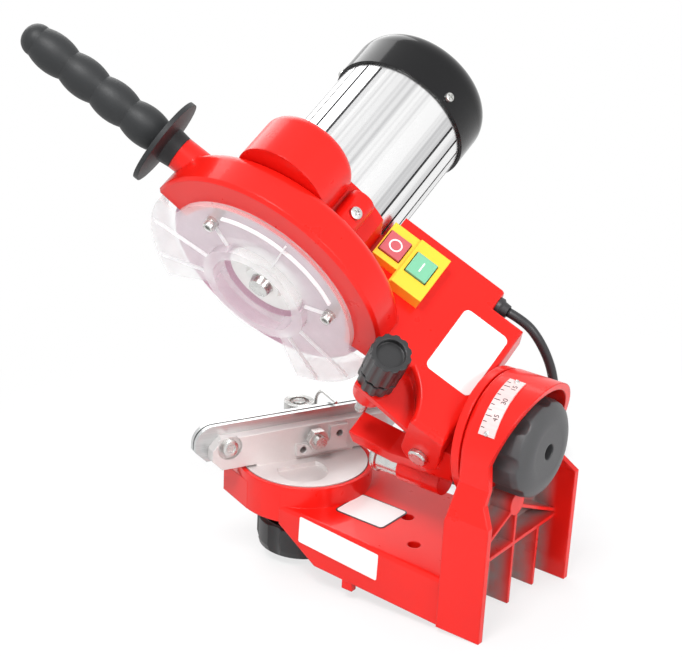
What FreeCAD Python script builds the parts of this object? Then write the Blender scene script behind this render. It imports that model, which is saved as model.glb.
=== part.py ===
import FreeCAD, Part
import math
import os
import re
import Sketcher
from FreeCAD import Placement, Rotation, Vector

# Bench saw-chain grinder: a hollow base with a turning vise, and a tilting, swinging head with a thin wheel.
# Millimetres and degrees. The origin is midway between the two rear bench bolts, on the bench face.
# +Y runs from the vise to the upright, +Z is up.

os.makedirs("parts", exist_ok=True)
doc = FreeCAD.newDocument("chain_grinder")
sheet = doc.addObject("Spreadsheet::Sheet", "Sizes")

driving_sizes = {
    # base casting
    "turret_reach": 110, "base_rear": 68, "base_rear_half": 53.7, "base_front": 64,
    "base_front_half": 46, "base_wall": 4.5, "edge_round": 3, "deck_height": 32, "deck_wall": 4,
    "slant_reach": 34, "cup_floor": 20, "cup_top": 46, "cup_radius": 46, "cup_wall": 3, "cup_seat": 6,
    "cup_boss": 18, "nose_half": 33, "nose_reach": 44, "nose_top": 40, "nose_flare": 14,
    "bench_bolt_half": 27, "bench_bolt_front": 24, "bench_hole": 4.25, "bench_boss": 9,
    "edge_tab_front": 40, "edge_tab_length": 8, "edge_tab_drop": 6,
    # upright and hood
    "tilt_height": 112, "upright_front": 37, "upright_web": 4, "shoulder_low": 78, "shoulder_high": 96,
    "hood_radius": 42.5, "hood_wall": 4.5, "waist_back": 60, "hood_side": 58, "hood_crown": 72,
    "rib_back": 56, "rib_width": 2.5, "cross_rib_height": 43, "rib_knot_height": 71,
    "rib_knot_radius": 8, "side_rib_half": 30, "tilt_boss_radius": 13, "tilt_boss_back": 50,
    "scale_gap": 0.05, "scale_thick": 0.8, "scale_front": 47, "scale_back": 58, "scale_start": 10,
    "scale_end": 66,
    # lobed knobs and their bolts
    "knob_radius": 31.3, "knob_height": 24.4, "knob_wall": 4.3, "knob_hub": 10, "knob_lobes": 8,
    "lobe_radius": 9, "lobe_depth": 2.4, "stud_radius": 5, "thread_gap": 0.05, "hole_gap": 0.2,
    "washer_thick": 1.6, "washer_radius": 12, "seat_gap": 0.1, "turret_knob_drop": 19.4,
    "tilt_knob_back": 74, "stud_inset": 3, "tilt_bolt_inset": 12,
    # turret and vise
    "vise_rest": 26, "turret_radius": 42.5, "turret_top": 46.6, "turret_lift": 0.3,
    "spigot_radius": 12, "running_gap": 0.05, "bar_left": 68, "bar_right": 62, "bar_thick": 8,
    "bar_low": 48, "bar_top": 70, "bar_root_half": 36, "rail_thick": 3, "rail_half": 77,
    "rail_low": 52, "rail_top": 77, "rail_corner": 13, "chain_slot": 1.6, "clamp_x": 5.6,
    "clamp_height": 62, "clamp_radius": 4, "clamp_reach": 10, "rail_chamfer": 8, "rail_boss_far": 30,
    "rail_boss_near": 8, "rail_boss_step": 17, "rail_boss_rise": 8, "rail_screw_hole": 2.5,
    "rail_screw_far": 24, "rail_screw_near": 3, "moon_x": 10, "moon_half": 14, "moon_low": 8,
    "moon_high": 34, "moon_depth": 3, "end_bolt_x": 55.5, "end_bolt_height": 63.5,
    "end_bolt_radius": 3, "end_recess": 8.5, "stop_x": 13, "stop_y": 39, "stop_block": 8,
    "stop_block_top": 60, "stop_knob_radius": 10.5, "stop_knob_top": 70, "stop_screw": 3,
    "pawl_wire": 1.1, "pawl_x": 26, "pawl_top": 80.6, "pawl_pivot": 54, "pawl_bend": 8, "lever_hub": 8,
    "lever_length": 44, "lever_width": 9, "lever_thick": 6,
    # tilt bracket and hinge
    "tilt_rest": 30, "hinge_y": 4, "hinge_w": 6, "swing_travel": 22.5, "bracket_radius": 42,
    "bracket_thick": 5.5, "bracket_gap": 0.5, "bracket_boss": 17, "bracket_boss_thick": 5,
    "knuckle_half": 30, "knuckle_radius": 13, "neck_inner": 12, "neck_high": 6, "neck_low": 26,
    "pin_radius": 5, "pin_head": 6.5, "pin_head_thick": 3.5, "pin_nut": 9, "pin_nut_thick": 6,
    "stop_bar_inner": 12, "stop_bar_reach": 63, "stop_bar_tip": 14, "stop_bar_knee": 34,
    "stop_bar_knee_drop": 21, "stop_bar_root": 18, "stop_bar_thick": 10, "sleeve_n": 25,
    "sleeve_w": 33, "sleeve_boss": 9.5, "sleeve_boss_back": 6, "sleeve_boss_front": 26,
    "sleeve_radius": 8, "sleeve_length": 24, "sleeve_pin": 4, "bolt_head_radius": 9,
    "bolt_head_thick": 6.5,
    # head casting
    "arm_reach": 136.4, "wheel_rise": 36.6, "plate_rise": 32, "plate_slope": 0.24, "plate_thick": 5,
    "plate_far": 75, "plate_front": 85, "arm_rear": 13, "arm_wall": 5, "wall_low": 12, "arm_notch": 10,
    "notch_far": 61, "ridge_n": 6.6, "ridge_y": 28.7, "ridge_middle_n": 19.4, "ridge_middle_y": 16.1,
    "shoulder_back": 4, "web_drop": 12.5, "web_near": 33, "web_front": 52, "ear_gap": 0.5, "ear_thick": 6,
    "ear_radius": 13, "ear_front": 10.5, "guard_radius": 86, "guard_wall": 5, "guard_back": 16.3,
    "guard_front": 9.5, "guard_plate": 4, "guard_mouth": 62, "guard_round": 7, "guard_edge": 2,
    "guard_middle": 73.5, "guard_half": 82, "seat_radius": 57, "seat_lip": 6, "seat_lug": 9,
    "seat_lug_angle": 56.5, "spindle_hole": 9, "arm_back": 48, "bulge_radius": 31, "bulge_y": 6,
    "bulge_w": 66, "bulge_end": 51, "bulge_round": 7, "motor_room": 48.5, "capacitor_radius": 13,
    "capacitor_y": 6, "capacitor_w": 73, "capacitor_front": 22, "capacitor_back": 46,
    "capacitor_room": 0.5, "cover_radius": 15, "cover_thick": 2, "relief_n": 68, "relief_w": 27,
    "relief_shank": 4.9, "relief_flange": 6.2, "relief_tip": 4.2, "relief_boss": 7, "relief_length": 8,
    "relief_sink": 13,
    # wheel, spindle and motor
    "wheel_radius": 72.5, "wheel_thick": 4.8, "wheel_bore": 11.1, "flange_radius": 27,
    "flange_thick": 3.6, "flange_hub": 12, "flange_hub_thick": 3, "spindle_radius": 6,
    "spindle_back": 155, "spindle_front": 8, "screw_head": 8, "screw_head_thick": 5, "screw_radius": 3,
    "screw_depth": 16, "bearing_radius": 16, "bearing_width": 9, "rear_bearing_radius": 13,
    "bearing_bottom": 38, "motor_radius": 47, "motor_bore": 42.3, "motor_back": 153,
    "groove_width": 1.8, "groove_depth": 2, "groove_count": 22, "groove_first": 110,
    "groove_span": 281, "rotor_radius": 24.2, "stator_bore": 24.6, "core_front": 62, "core_back": 128,
    "winding_length": 9, "winding_inner": 27, "winding_outer": 40, "shield_thick": 4, "shield_hub": 17,
    "cap_radius": 49, "cap_wall": 1.8, "cap_overlap": 3, "cap_end": 190, "cap_round": 17,
    # clear guard
    "clear_back": 12, "clear_thick": 2, "clear_radius": 68, "wing_radius": 82, "wing_span": 58,
    "wing_back": 2, "ring_outer": 37, "ring_inner": 29.5, "ring_front": 20, "ring_back": 8,
    "post_circle": 56, "post_first": 126.5, "post_second": 20.5, "post_radius": 4, "post_hole": 4.2,
    "post_front": 16,
    # handle
    "handle_n": 13, "handle_y": 73, "handle_w": 48, "handle_angle": 163.7, "handle_boss": 11,
    "boss_sink": 14, "boss_reach": 5, "grip_end": 125, "grip_radius": 10.4, "grip_swell": 12.6,
    "grip_waves": 4, "finger_disc": 29, "finger_disc_at": 15, "finger_disc_thick": 3,
    "handle_stud_depth": 60,
    # switch
    "switch_room": 1, "switch_clear": 30,
    "switch_n": 45, "switch_y": 68, "switch_low_level": 8, "switch_high_level": 10,
    "switch_rear": 21.5, "switch_top": 18.2, "switch_step": 2, "switch_front": 20.5, "switch_waist": 9,
    "switch_body_half": 7.5, "switch_body_low": 2, "switch_body_high": 12, "switch_body_depth": 12,
    "button_gap": 0.5, "button_travel": 3, "button_proud": 1.5, "button_half_y": 7.5,
    "button_half_w": 7.8, "stop_button_y": 11.5, "stop_button_w": 3.5, "start_button_y": 9.5,
    "start_button_w": 1, "well_floor": 2,
    # depth stop
    "depth_n": 22, "depth_y": 42, "depth_w": 36, "depth_lean": 10, "ring_radius": 12.3,
    "ring_half": 5.5, "depth_knob_radius": 12.6, "depth_knob_low": 8.5, "depth_knob_high": 32,
    "depth_tip": 51, "depth_screw": 4, "knob_dish": 9, "knob_dish_depth": 4, "flute_radius": 3,
    "flute_depth": 0.9, "flute_count": 12, "lug_radius": 10.5, "lug_top": 6.5, "lug_low": 26,
    # cord
    "cord_radius": 3.1, "cord_straight": 12, "floor_slope": 7.3, "coil_x": 225, "coil_run": 146,
    "coil_radius": 39.5, "coil_step": 6.8, "coil_layer": 6.8, "coil_half_turns": 5, "coil_tuck": 2,
    "coil_lift": 1.6, "tie_thick": 0.8, "tie_width": 8, "tie_gap": 0.6, "plug_radius": 12,
    "plug_length": 38, "plug_neck": 6, "plug_shoulder": 16, "pin_length": 19, "plug_pin": 2.4,
    "plug_pin_half": 8.5,
}

for row, (name, size) in enumerate(driving_sizes.items(), start=1):
    sheet.set(f"A{row}", name)
    sheet.set(f"B{row}", str(size))
    sheet.setAlias(f"B{row}", name)
doc.recompute()

pieces = []
# Share of a run that a bend may take up, for the spring wire and for the cord.
wire_bend_share = 0.4
cord_bend_share = 0.45


def cell(text):
    # Turns plain size names into references to the sheet.
    return re.sub(r"\b([a-z][a-z_0-9]*)\b(?!\()", r"Sizes.\1", str(text))


def size(text):
    return float(sheet.evalExpression(cell(text)))


def point(pair):
    return Vector(size(pair[0]), size(pair[1]), 0)


def place(item, frame):
    if frame:
        item.setExpression("Placement", cell(frame))


def new_body(name, frame=""):
    body = doc.addObject("PartDesign::Body", name)
    body.Label = name
    place(body, frame)
    pieces.append(body)
    return body


def helper_body(name):
    body = new_body(name)
    pieces.remove(body)
    return body


def hold(sketch, geometry, end, pair):
    # Pins one point of a sketch to its two sizes.
    for kind, text in zip(("DistanceX", "DistanceY"), pair):
        rule = sketch.addConstraint(Sketcher.Constraint(kind, -1, 1, geometry, end, size(text)))
        sketch.setExpression(f"Constraints[{rule}]", cell(text))


def circle(across, up, radius):
    return ("circle", across, up, radius)


def polar(radius, angle, across="0", up="0"):
    return (f"{across} + ({radius}) * cos({angle})", f"{up} + ({radius}) * sin({angle})")


def via(pair):
    # Marks a point that an arc passes through on its way to the next corner.
    return ("via",) + tuple(pair)


def draw_circle(sketch, loop):
    kind, across, up, radius = loop
    ring = sketch.addGeometry(Part.Circle(point((across, up)), Vector(0, 0, 1), size(radius)))
    hold(sketch, ring, 3, (across, up))
    rule = sketch.addConstraint(Sketcher.Constraint("Radius", ring, size(radius)))
    sketch.setExpression(f"Constraints[{rule}]", cell(radius))


def draw_outline(sketch, loop):
    corners = [item for item in loop if item[0] != "via"]
    bends = {}
    for item in loop:
        if item[0] == "via":
            bends[len(bends), seen] = item[1:]
        else:
            seen = item
    bends = {corner: bend for (order, corner), bend in bends.items()}
    sides = []
    for index, corner in enumerate(corners):
        start = point(corner)
        finish = point(corners[(index + 1) % len(corners)])
        if corner in bends:
            middle = point(bends[corner])
            forward = (middle - start).cross(finish - middle).z > 0
            ends = (start, finish) if forward else (finish, start)
            side = sketch.addGeometry(Part.Arc(ends[0], middle, ends[1]))
            sides.append((side, 1, 2) if forward else (side, 2, 1))
        else:
            sides.append((sketch.addGeometry(Part.LineSegment(start, finish)), 1, 2))
    for index, (side, first, last) in enumerate(sides):
        following, following_first, unused = sides[(index + 1) % len(sides)]
        sketch.addConstraint(Sketcher.Constraint("Coincident", side, last, following, following_first))
    for corner, (side, first, last) in zip(corners, sides):
        hold(sketch, side, first, corner)
        if corner in bends:
            mark = sketch.addGeometry(Part.Point(point(bends[corner])), True)
            hold(sketch, mark, 1, bends[corner])
            sketch.addConstraint(Sketcher.Constraint("PointOnObject", mark, 1, side))


def sketch_on(body, plane, height, loops):
    sketch = body.newObject("Sketcher::SketchObject", "Outline")
    support = next(item for item in body.Origin.OriginFeatures if item.Role == plane + "_Plane")
    sketch.AttachmentSupport = [(support, "")]
    sketch.MapMode = "FlatFace"
    sign = "-" if plane == "XZ" else ""
    sketch.setExpression("AttachmentOffset.Base.z", cell(f"{sign}({height})"))
    for loop in loops:
        if loop[0] == "circle":
            draw_circle(sketch, loop)
        else:
            draw_outline(sketch, loop)
    return sketch


def pad(body, plane, start, finish, *loops):
    feature = body.newObject("PartDesign::Pad", "Pad")
    feature.Profile = sketch_on(body, plane, start, loops)
    feature.setExpression("Length", cell(f"({finish}) - ({start})"))
    feature.Reversed = plane == "XZ"
    body.Tip = feature
    return feature


def pocket(body, plane, start, finish, *loops):
    doc.recompute()
    before = body.Shape.Volume
    feature = body.newObject("PartDesign::Pocket", "Pocket")
    feature.Profile = sketch_on(body, plane, start, loops)
    feature.setExpression("Length", cell(f"({finish}) - ({start})"))
    feature.Reversed = plane != "XZ"
    body.Tip = feature
    doc.recompute()
    if body.Shape.Volume >= before:
        raise ValueError(f"A cut in {body.Label} removes nothing")
    return feature


def spin(body, axis, *loops):
    # Turns a half section round the sketch's own axis: "H" for X, "V" for Y.
    feature = body.newObject("PartDesign::Revolution", "Turned")
    sketch = sketch_on(body, "XY", "0", loops)
    feature.Profile = sketch
    feature.ReferenceAxis = (sketch, [axis + "_Axis"])
    feature.Angle = 360
    body.Tip = feature
    return feature


def soften(body, radius, wanted):
    # Rounds the edges of the body so far whose every corner is wanted.
    doc.recompute()
    feature = body.Tip
    names = []
    for index, edge in enumerate(feature.Shape.Edges, start=1):
        corners = [vertex.Point for vertex in edge.Vertexes] + [edge.valueAt(sum(edge.ParameterRange) / 2)]
        if all(wanted(corner) for corner in corners):
            names.append(f"Edge{index}")
    fillet = body.newObject("PartDesign::Fillet", "Softened")
    fillet.Base = (feature, names)
    fillet.setExpression("Radius", cell(radius))
    body.Tip = fillet
    doc.recompute()
    return fillet


def near(first, second):
    return abs(first - second) < 0.001


def repeat_round(body, feature, axis, span, count):
    pattern = body.newObject("PartDesign::PolarPattern", "Round")
    pattern.Originals = [feature]
    line = next(item for item in body.Origin.OriginFeatures if item.Role == axis + "_Axis")
    pattern.Axis = (line, [""])
    pattern.setExpression("Angle", cell(span))
    pattern.setExpression("Occurrences", cell(count))
    body.Tip = pattern
    return pattern


def box_loop(left, right, low, high):
    return [(left, low), (right, low), (right, high), (left, high)]


# Frames: each is written once and every piece of that group is placed by it.
turret_frame = "placement(vector(0; -turret_reach; 0); rotation(vector(0; 0; 1); -vise_rest))"
tilt_frame = "placement(vector(0; 0; tilt_height); rotation(vector(0; 1; 0); tilt_rest))"
arm_frame = tilt_frame + " * placement(vector(0; hinge_y; hinge_w); rotation(vector(1; 0; 0); -swing_travel))"
spindle_frame = arm_frame + " * placement(vector(0; -arm_reach; wheel_rise); rotation(vector(1; 0; 0); 0))"
depth_frame = (arm_frame + " * placement(vector(depth_n; -depth_y; depth_w);"
               " rotation(vector(1; 0; 0); -depth_lean))")
handle_frame = (spindle_frame + " * placement(vector(-handle_n; -handle_y; handle_w);"
                " rotation(vector(1; 0; 0); handle_angle))")
switch_frame = (arm_frame + " * placement(vector(-switch_n; -switch_y; plate_rise + plate_slope * switch_y);"
                " rotation(vector(1; 0; 0); -atan(plate_slope)))"
                " * placement(vector(0; 0; 0); rotation(vector(0; 1; 0); -90))")
relief_frame = (arm_frame + " * placement(vector(-relief_n; -arm_notch; relief_w);"
                " rotation(vector(1; 0; 0); 0))")
floor_frame = "placement(vector(0; base_rear; 0); rotation(vector(1; 0; 0); floor_slope))"


# Base casting: hollow deck, turret cup with its nose, and an upright that ends in a visor hood.
def make_base():
    base = new_body("base_casting")
    taper = "(base_rear_half - base_front_half) / (base_rear + base_front)"
    web_back = "upright_front + upright_web"
    deck_front = "-turret_reach + nose_flare"
    front_half = f"base_front_half + {taper} * (base_front + {deck_front})"
    back_half = f"base_front_half + {taper} * (base_front + {web_back})"
    pad(base, "XY", "0", "deck_height", [
        (f"-({front_half})", deck_front), (front_half, deck_front),
        (back_half, web_back), (f"-({back_half})", web_back)])
    deck = size("deck_height")
    soften(base, "edge_round", lambda spot: near(spot.z, deck) and abs(spot.x) > size("base_front_half") / 2)
    pad(base, "XZ", "upright_front", "hood_crown", [
        ("-base_rear_half", "0"), ("base_rear_half", "0"), ("base_rear_half", "shoulder_low"),
        ("hood_radius", "shoulder_high"), ("hood_radius", "tilt_height"),
        via(("0", "tilt_height + hood_radius")), ("-hood_radius", "tilt_height"),
        ("-hood_radius", "shoulder_high"), ("-base_rear_half", "shoulder_low")])
    front = size("upright_front")
    soften(base, "edge_round", lambda spot: near(spot.y, front) and spot.z > deck + 1)
    inner_half = "base_rear_half - base_wall"
    inner_hood = "hood_radius - hood_wall"
    pocket(base, "XZ", web_back, "hood_crown + 1", [
        (f"-({inner_half})", "-1"), (inner_half, "-1"), (inner_half, "shoulder_low"),
        (inner_hood, "shoulder_high"), (inner_hood, "tilt_height"),
        via(("0", f"tilt_height + {inner_hood}")), (f"-({inner_hood})", "tilt_height"),
        (f"-({inner_hood})", "shoulder_high"), (f"-({inner_half})", "shoulder_low")])
    over = "hood_crown + base_wall"
    top = "tilt_height + 2 * hood_radius"
    pocket(base, "YZ", "-base_rear_half - 1", "base_rear_half + 1", [
        ("base_rear", "-1"), (over, "-1"), (over, top), ("hood_crown", top),
        ("hood_crown", "tilt_height + hood_radius"), ("hood_side", "tilt_height"),
        ("waist_back", "shoulder_low + 10"), ("base_rear", "shoulder_low")])
    under_half = f"{back_half} - base_wall"
    pocket(base, "XY", "-1", "deck_height - deck_wall", [
        ("-(base_front_half - base_wall)", "-base_front"), ("base_front_half - base_wall", "-base_front"),
        (under_half, "upright_front - base_wall"), (f"-({under_half})", "upright_front - base_wall")])
    far_front = "-turret_reach - 2 * cup_radius"
    pocket(base, "YZ", "-base_rear_half - 1", "base_rear_half + 1", [
        ("-base_front", "-1"), ("-base_front", "0"), ("-base_front - slant_reach", "cup_floor"),
        (far_front, "cup_floor"), (far_front, "-1")])
    pad(base, "XY", "cup_floor", "cup_top", circle("0", "-turret_reach", "cup_radius"))
    nose_front = "-turret_reach - nose_reach"
    pad(base, "XY", "cup_floor", "nose_top", [
        ("-nose_half", nose_front), ("nose_half", nose_front),
        ("cup_radius - 2", "-turret_reach - nose_flare"), ("cup_radius - 2", "-turret_reach + nose_flare"),
        ("-(cup_radius - 2)", "-turret_reach + nose_flare"),
        ("-(cup_radius - 2)", "-turret_reach - nose_flare")])
    seat_radius = "cup_radius - cup_wall"
    pocket(base, "XY", "cup_top - cup_seat", "cup_top + 1", circle("0", "-turret_reach", seat_radius))
    pocket(base, "XY", "cup_floor - 1", "cup_top - cup_seat - deck_wall",
           circle("0", "-turret_reach", f"{seat_radius} - base_wall"),
           circle("0", "-turret_reach", "cup_boss"))
    pocket(base, "XY", "cup_floor - 1", "cup_top + 1",
           circle("0", "-turret_reach", "spigot_radius + running_gap"))
    bolts = [("bench_bolt_half", "0"), ("-bench_bolt_half", "0"), ("0", "-bench_bolt_front")]
    for across, along in bolts:
        pad(base, "XY", "0", "deck_height - deck_wall / 2", circle(across, along, "bench_boss"))
    for across, along in bolts:
        pocket(base, "XY", "-1", "deck_height + 1", circle(across, along, "bench_hole"))
    tab_half = f"base_front_half + {taper} * (base_front - edge_tab_front)"
    for side in ("", "-"):
        outer = f"{side}({tab_half})"
        inner = f"{side}({tab_half} - base_wall)"
        pad(base, "XY", "-edge_tab_drop", "1",
            box_loop(inner, outer, "-edge_tab_front", "-edge_tab_front + edge_tab_length"))
    make_ribs(base, web_back, inner_half)
    return base


def make_ribs(base, web_back, inner_half):
    # Stiffening ribs in the open back of the upright, and the boss round the tilt bolt.
    half = "rib_width / 2"
    foot = "cross_rib_height"
    knot = "rib_knot_height"
    pad(base, "XZ", web_back, "rib_back", box_loop(
        f"-({inner_half})", inner_half, f"{foot} - {half}", f"{foot} + {half}"))
    pad(base, "XZ", web_back, "rib_back", circle("0", knot, "rib_knot_radius"))
    pad(base, "XZ", web_back, "rib_back", box_loop(f"-({half})", half, "0", knot))
    for side in ("", "-"):
        pad(base, "XZ", web_back, "rib_back", box_loop(
            f"{side}(side_rib_half - {half})", f"{side}(side_rib_half + {half})", "0", foot))
        pad(base, "XZ", web_back, "rib_back", [
            ("0", f"{knot} - rib_width"), (f"{side}({inner_half})", f"{foot} + rib_width"),
            (f"{side}({inner_half})", f"{foot} + 2 * rib_width"), ("0", knot)])
    pad(base, "XZ", web_back, "tilt_boss_back", circle("0", "tilt_height", "tilt_boss_radius"))
    pocket(base, "XZ", "upright_front - 1", "rib_back + 1",
           circle("0", "tilt_height", "stud_radius + hole_gap"))


def make_scale_plate():
    plate = new_body("scale_plate")
    inner = "hood_radius + scale_gap"
    outer = f"{inner} + scale_thick"
    middle = "(scale_start + scale_end) / 2"

    def spot(radius, angle):
        return (f"({radius}) * sin({angle})", f"tilt_height + ({radius}) * cos({angle})")

    pad(plate, "XZ", "scale_front", "scale_back", [
        spot(inner, "scale_start"), via(spot(inner, middle)), spot(inner, "scale_end"),
        spot(outer, "scale_end"), via(spot(outer, middle)), spot(outer, "scale_start")])


# Lobed clamp knob: a deep cup turned about its own X axis, with shallow flutes.
def make_knob(name, frame, hub_end):
    knob = new_body(name, frame)
    bore = "stud_radius + thread_gap"
    inner = "knob_radius - knob_wall"
    spin(knob, "H", [
        ("0", bore), ("0", "knob_radius / 2"), via(("knob_wall / 3", "knob_radius * 0.8")),
        ("knob_wall", "knob_radius * 0.96"), ("2 * knob_wall", "knob_radius"), ("knob_height", "knob_radius"),
        ("knob_height", inner), ("2 * knob_wall", inner), ("knob_wall * 1.2", "knob_hub"),
        (hub_end, "knob_hub"), (hub_end, bore)])
    flute = pocket(knob, "YZ", "-1", "knob_height + 1",
                   circle("knob_radius + lobe_radius - lobe_depth", "0", "lobe_radius"))
    repeat_round(knob, flute, "X", "360", "knob_lobes")


def make_washer(name, frame):
    washer = new_body(name, frame)
    pad(washer, "YZ", "0", "washer_thick",
        circle("0", "0", "washer_radius"), circle("0", "0", "stud_radius + hole_gap"))


def make_turret_clamp():
    hub_end = "cup_floor + turret_knob_drop - washer_thick - 2 * seat_gap"
    upright = "rotation(vector(0; 1; 0); -90)"
    knob_frame = f"placement(vector(0; -turret_reach; -turret_knob_drop); {upright})"
    make_knob("turret_lock_knob", knob_frame, hub_end)
    washer_low = "cup_floor - washer_thick - seat_gap"
    make_washer("turret_washer", f"placement(vector(0; -turret_reach; {washer_low}); {upright})")
    stud = new_body("turret_stud", turret_frame)
    pad(stud, "XY", "stud_inset - turret_knob_drop", "turret_top - 2 * stud_inset",
        circle("0", "0", "stud_radius"))


def make_tilt_clamp():
    backward = "rotation(vector(0; 0; 1); -90)"
    knob_frame = f"placement(vector(0; tilt_knob_back; tilt_height); {backward})"
    hub_end = "tilt_knob_back - tilt_boss_back - washer_thick - 2 * seat_gap"
    make_knob("tilt_lock_knob", knob_frame, hub_end)
    washer_back = "tilt_boss_back + washer_thick + seat_gap"
    make_washer("tilt_washer", f"placement(vector(0; {washer_back}; tilt_height); {backward})")
    bolt = new_body("tilt_bolt", "placement(vector(0; 0; tilt_height); rotation(vector(0; 1; 0); 0))")
    head_seat = "upright_front - bracket_gap - bracket_thick - bracket_boss_thick - seat_gap"
    spin(bolt, "V", [
        ("0", f"{head_seat} - bolt_head_thick"), ("bolt_head_radius", f"{head_seat} - bolt_head_thick"),
        ("bolt_head_radius", head_seat), ("stud_radius", head_seat),
        ("stud_radius", "tilt_knob_back - tilt_bolt_inset"), ("0", "tilt_knob_back - tilt_bolt_inset")])


# Turning vise: a turret disc with an upright bar, two chain rails, their clamp and the chain stop.
def make_turret():
    turret = new_body("vise_turret", turret_frame)
    disc_low = "cup_top - cup_seat + turret_lift"
    pad(turret, "XY", disc_low, "turret_top", circle("0", "0", "turret_radius"))
    pad(turret, "XY", "cup_floor + turret_lift", disc_low, circle("0", "0", "spigot_radius"))
    pad(turret, "XY", "turret_top - 1", "bar_low + 1",
        box_loop("-bar_root_half", "bar_root_half", "-bar_thick", "0"))
    end_round = "(bar_top - bar_low) / 3"
    pad(turret, "XZ", "-bar_thick", "0", [
        ("-bar_right", "bar_low"), (f"bar_left - {end_round}", "bar_low"),
        ("bar_left", f"bar_low + {end_round}"), ("bar_left", f"bar_top - {end_round}"),
        (f"bar_left - {end_round}", "bar_top"), ("-bar_right", "bar_top")])
    boss_low = "bar_low + 2"
    step_top = f"{boss_low} + rail_boss_rise"
    through = ("-bar_thick - 1", "rail_thick + 1")
    pad(turret, "XZ", "-1", "rail_thick", [
        ("-rail_boss_far", boss_low), ("rail_boss_near", boss_low), ("rail_boss_near", step_top),
        ("-rail_boss_step", step_top), ("-rail_boss_step", "bar_top - 2"), ("-rail_boss_far", "bar_top - 2")])
    pocket(turret, "XZ", *through, circle("-rail_screw_far", "clamp_height", "rail_screw_hole"))
    pocket(turret, "XZ", *through,
           circle("rail_screw_near", f"{boss_low} + rail_boss_rise / 2", "rail_screw_hole"))
    pocket(turret, "XZ", *through, circle("-clamp_x", "clamp_height", "clamp_radius + hole_gap"))
    pocket(turret, "XZ", "-rail_thick", "1", circle("end_bolt_x", "end_bolt_height", "end_recess"))
    pocket(turret, "XZ", "-bar_thick - 1", "1",
           circle("end_bolt_x", "end_bolt_height", "end_bolt_radius + hole_gap"))
    pocket(turret, "XY", "turret_top - moon_depth", "turret_top + 1", [
        ("moon_x - moon_half", "moon_low"), ("moon_x + moon_half", "moon_low"), via(("moon_x", "moon_high"))])
    pocket(turret, "XY", "cup_floor - 1", "turret_top - stud_inset",
           circle("0", "0", "stud_radius + thread_gap"))


def make_rail(name, far_face, holes):
    rail = new_body(name, turret_frame)
    corner = "rail_corner"
    chord = "rail_corner * (1 - sqrt(0.5))"
    pad(rail, "XZ", f"{far_face} - rail_thick", far_face, [
        ("-rail_half + rail_chamfer", "rail_low"), ("rail_half - rail_chamfer", "rail_low"),
        ("rail_half", "rail_low + rail_chamfer"),
        ("rail_half", f"rail_top - {corner}"), via((f"rail_half - {chord}", f"rail_top - {chord}")),
        (f"rail_half - {corner}", "rail_top"), (f"-rail_half + {corner}", "rail_top"),
        via((f"-rail_half + {chord}", f"rail_top - {chord}")), ("-rail_half", f"rail_top - {corner}"),
        ("-rail_half", "rail_low + rail_chamfer")])
    for across, up, radius in holes:
        pocket(rail, "XZ", f"{far_face} - rail_thick - 1", f"{far_face} + 1", circle(across, up, radius))


def make_vise_clamp():
    fixed_face = "-bar_thick - running_gap"
    moving_face = "-bar_thick - running_gap - rail_thick - chain_slot"
    clamp_hole = ("-clamp_x", "clamp_height", "clamp_radius + hole_gap")
    bolt_hole = ("end_bolt_x", "end_bolt_height", "end_bolt_radius + hole_gap")
    make_rail("fixed_rail", fixed_face, [clamp_hole, bolt_hole])
    make_rail("moving_rail", moving_face, [clamp_hole])
    axis_frame = (turret_frame + " * placement(vector(-clamp_x; 0; clamp_height);"
                  " rotation(vector(1; 0; 0); 0))")
    stud = new_body("clamp_stud", axis_frame)
    hub_low = "-bar_thick - 2 * rail_thick - chain_slot - 5"
    spin(stud, "V", [
        ("0", f"{hub_low} - lever_thick - 1"), ("clamp_radius", f"{hub_low} - lever_thick - 1"),
        ("clamp_radius", "rail_thick + clamp_reach"), ("0", "rail_thick + clamp_reach")])
    nut = new_body("clamp_nut", axis_frame)
    pad(nut, "XZ", "rail_thick + seat_gap", "rail_thick + seat_gap + 6",
        [polar("clamp_radius * 1.9", str(60 * step)) for step in range(6)],
        circle("0", "0", "clamp_radius + thread_gap"))
    lever = new_body("clamp_lever", axis_frame)
    hub_bore = circle("0", "0", "clamp_radius + running_gap")
    pad(lever, "XZ", f"{hub_low} - lever_thick", f"{hub_low} + 2", circle("0", "0", "lever_hub"), hub_bore)
    pad(lever, "XZ", f"{hub_low} - lever_thick", hub_low, [
        ("lever_hub * 0.9", "-lever_width / 3"), ("lever_length", "-lever_width / 2"),
        via(("lever_length + lever_width / 2", "0")), ("lever_length", "lever_width / 2"),
        ("lever_hub * 0.9", "lever_width / 3")])
    bolt = new_body("rail_bolt", turret_frame)
    bolt_frame = (turret_frame + " * placement(vector(end_bolt_x; 0; end_bolt_height);"
                  " rotation(vector(1; 0; 0); 0))")
    place(bolt, bolt_frame)
    spin(bolt, "V", [
        ("0", "-bar_thick - rail_thick"), ("end_bolt_radius", "-bar_thick - rail_thick"),
        ("end_bolt_radius", "seat_gap - rail_thick"), ("end_bolt_radius * 1.9", "seat_gap - rail_thick"),
        ("end_bolt_radius * 1.9", "1"), ("0", "1")])


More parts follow.
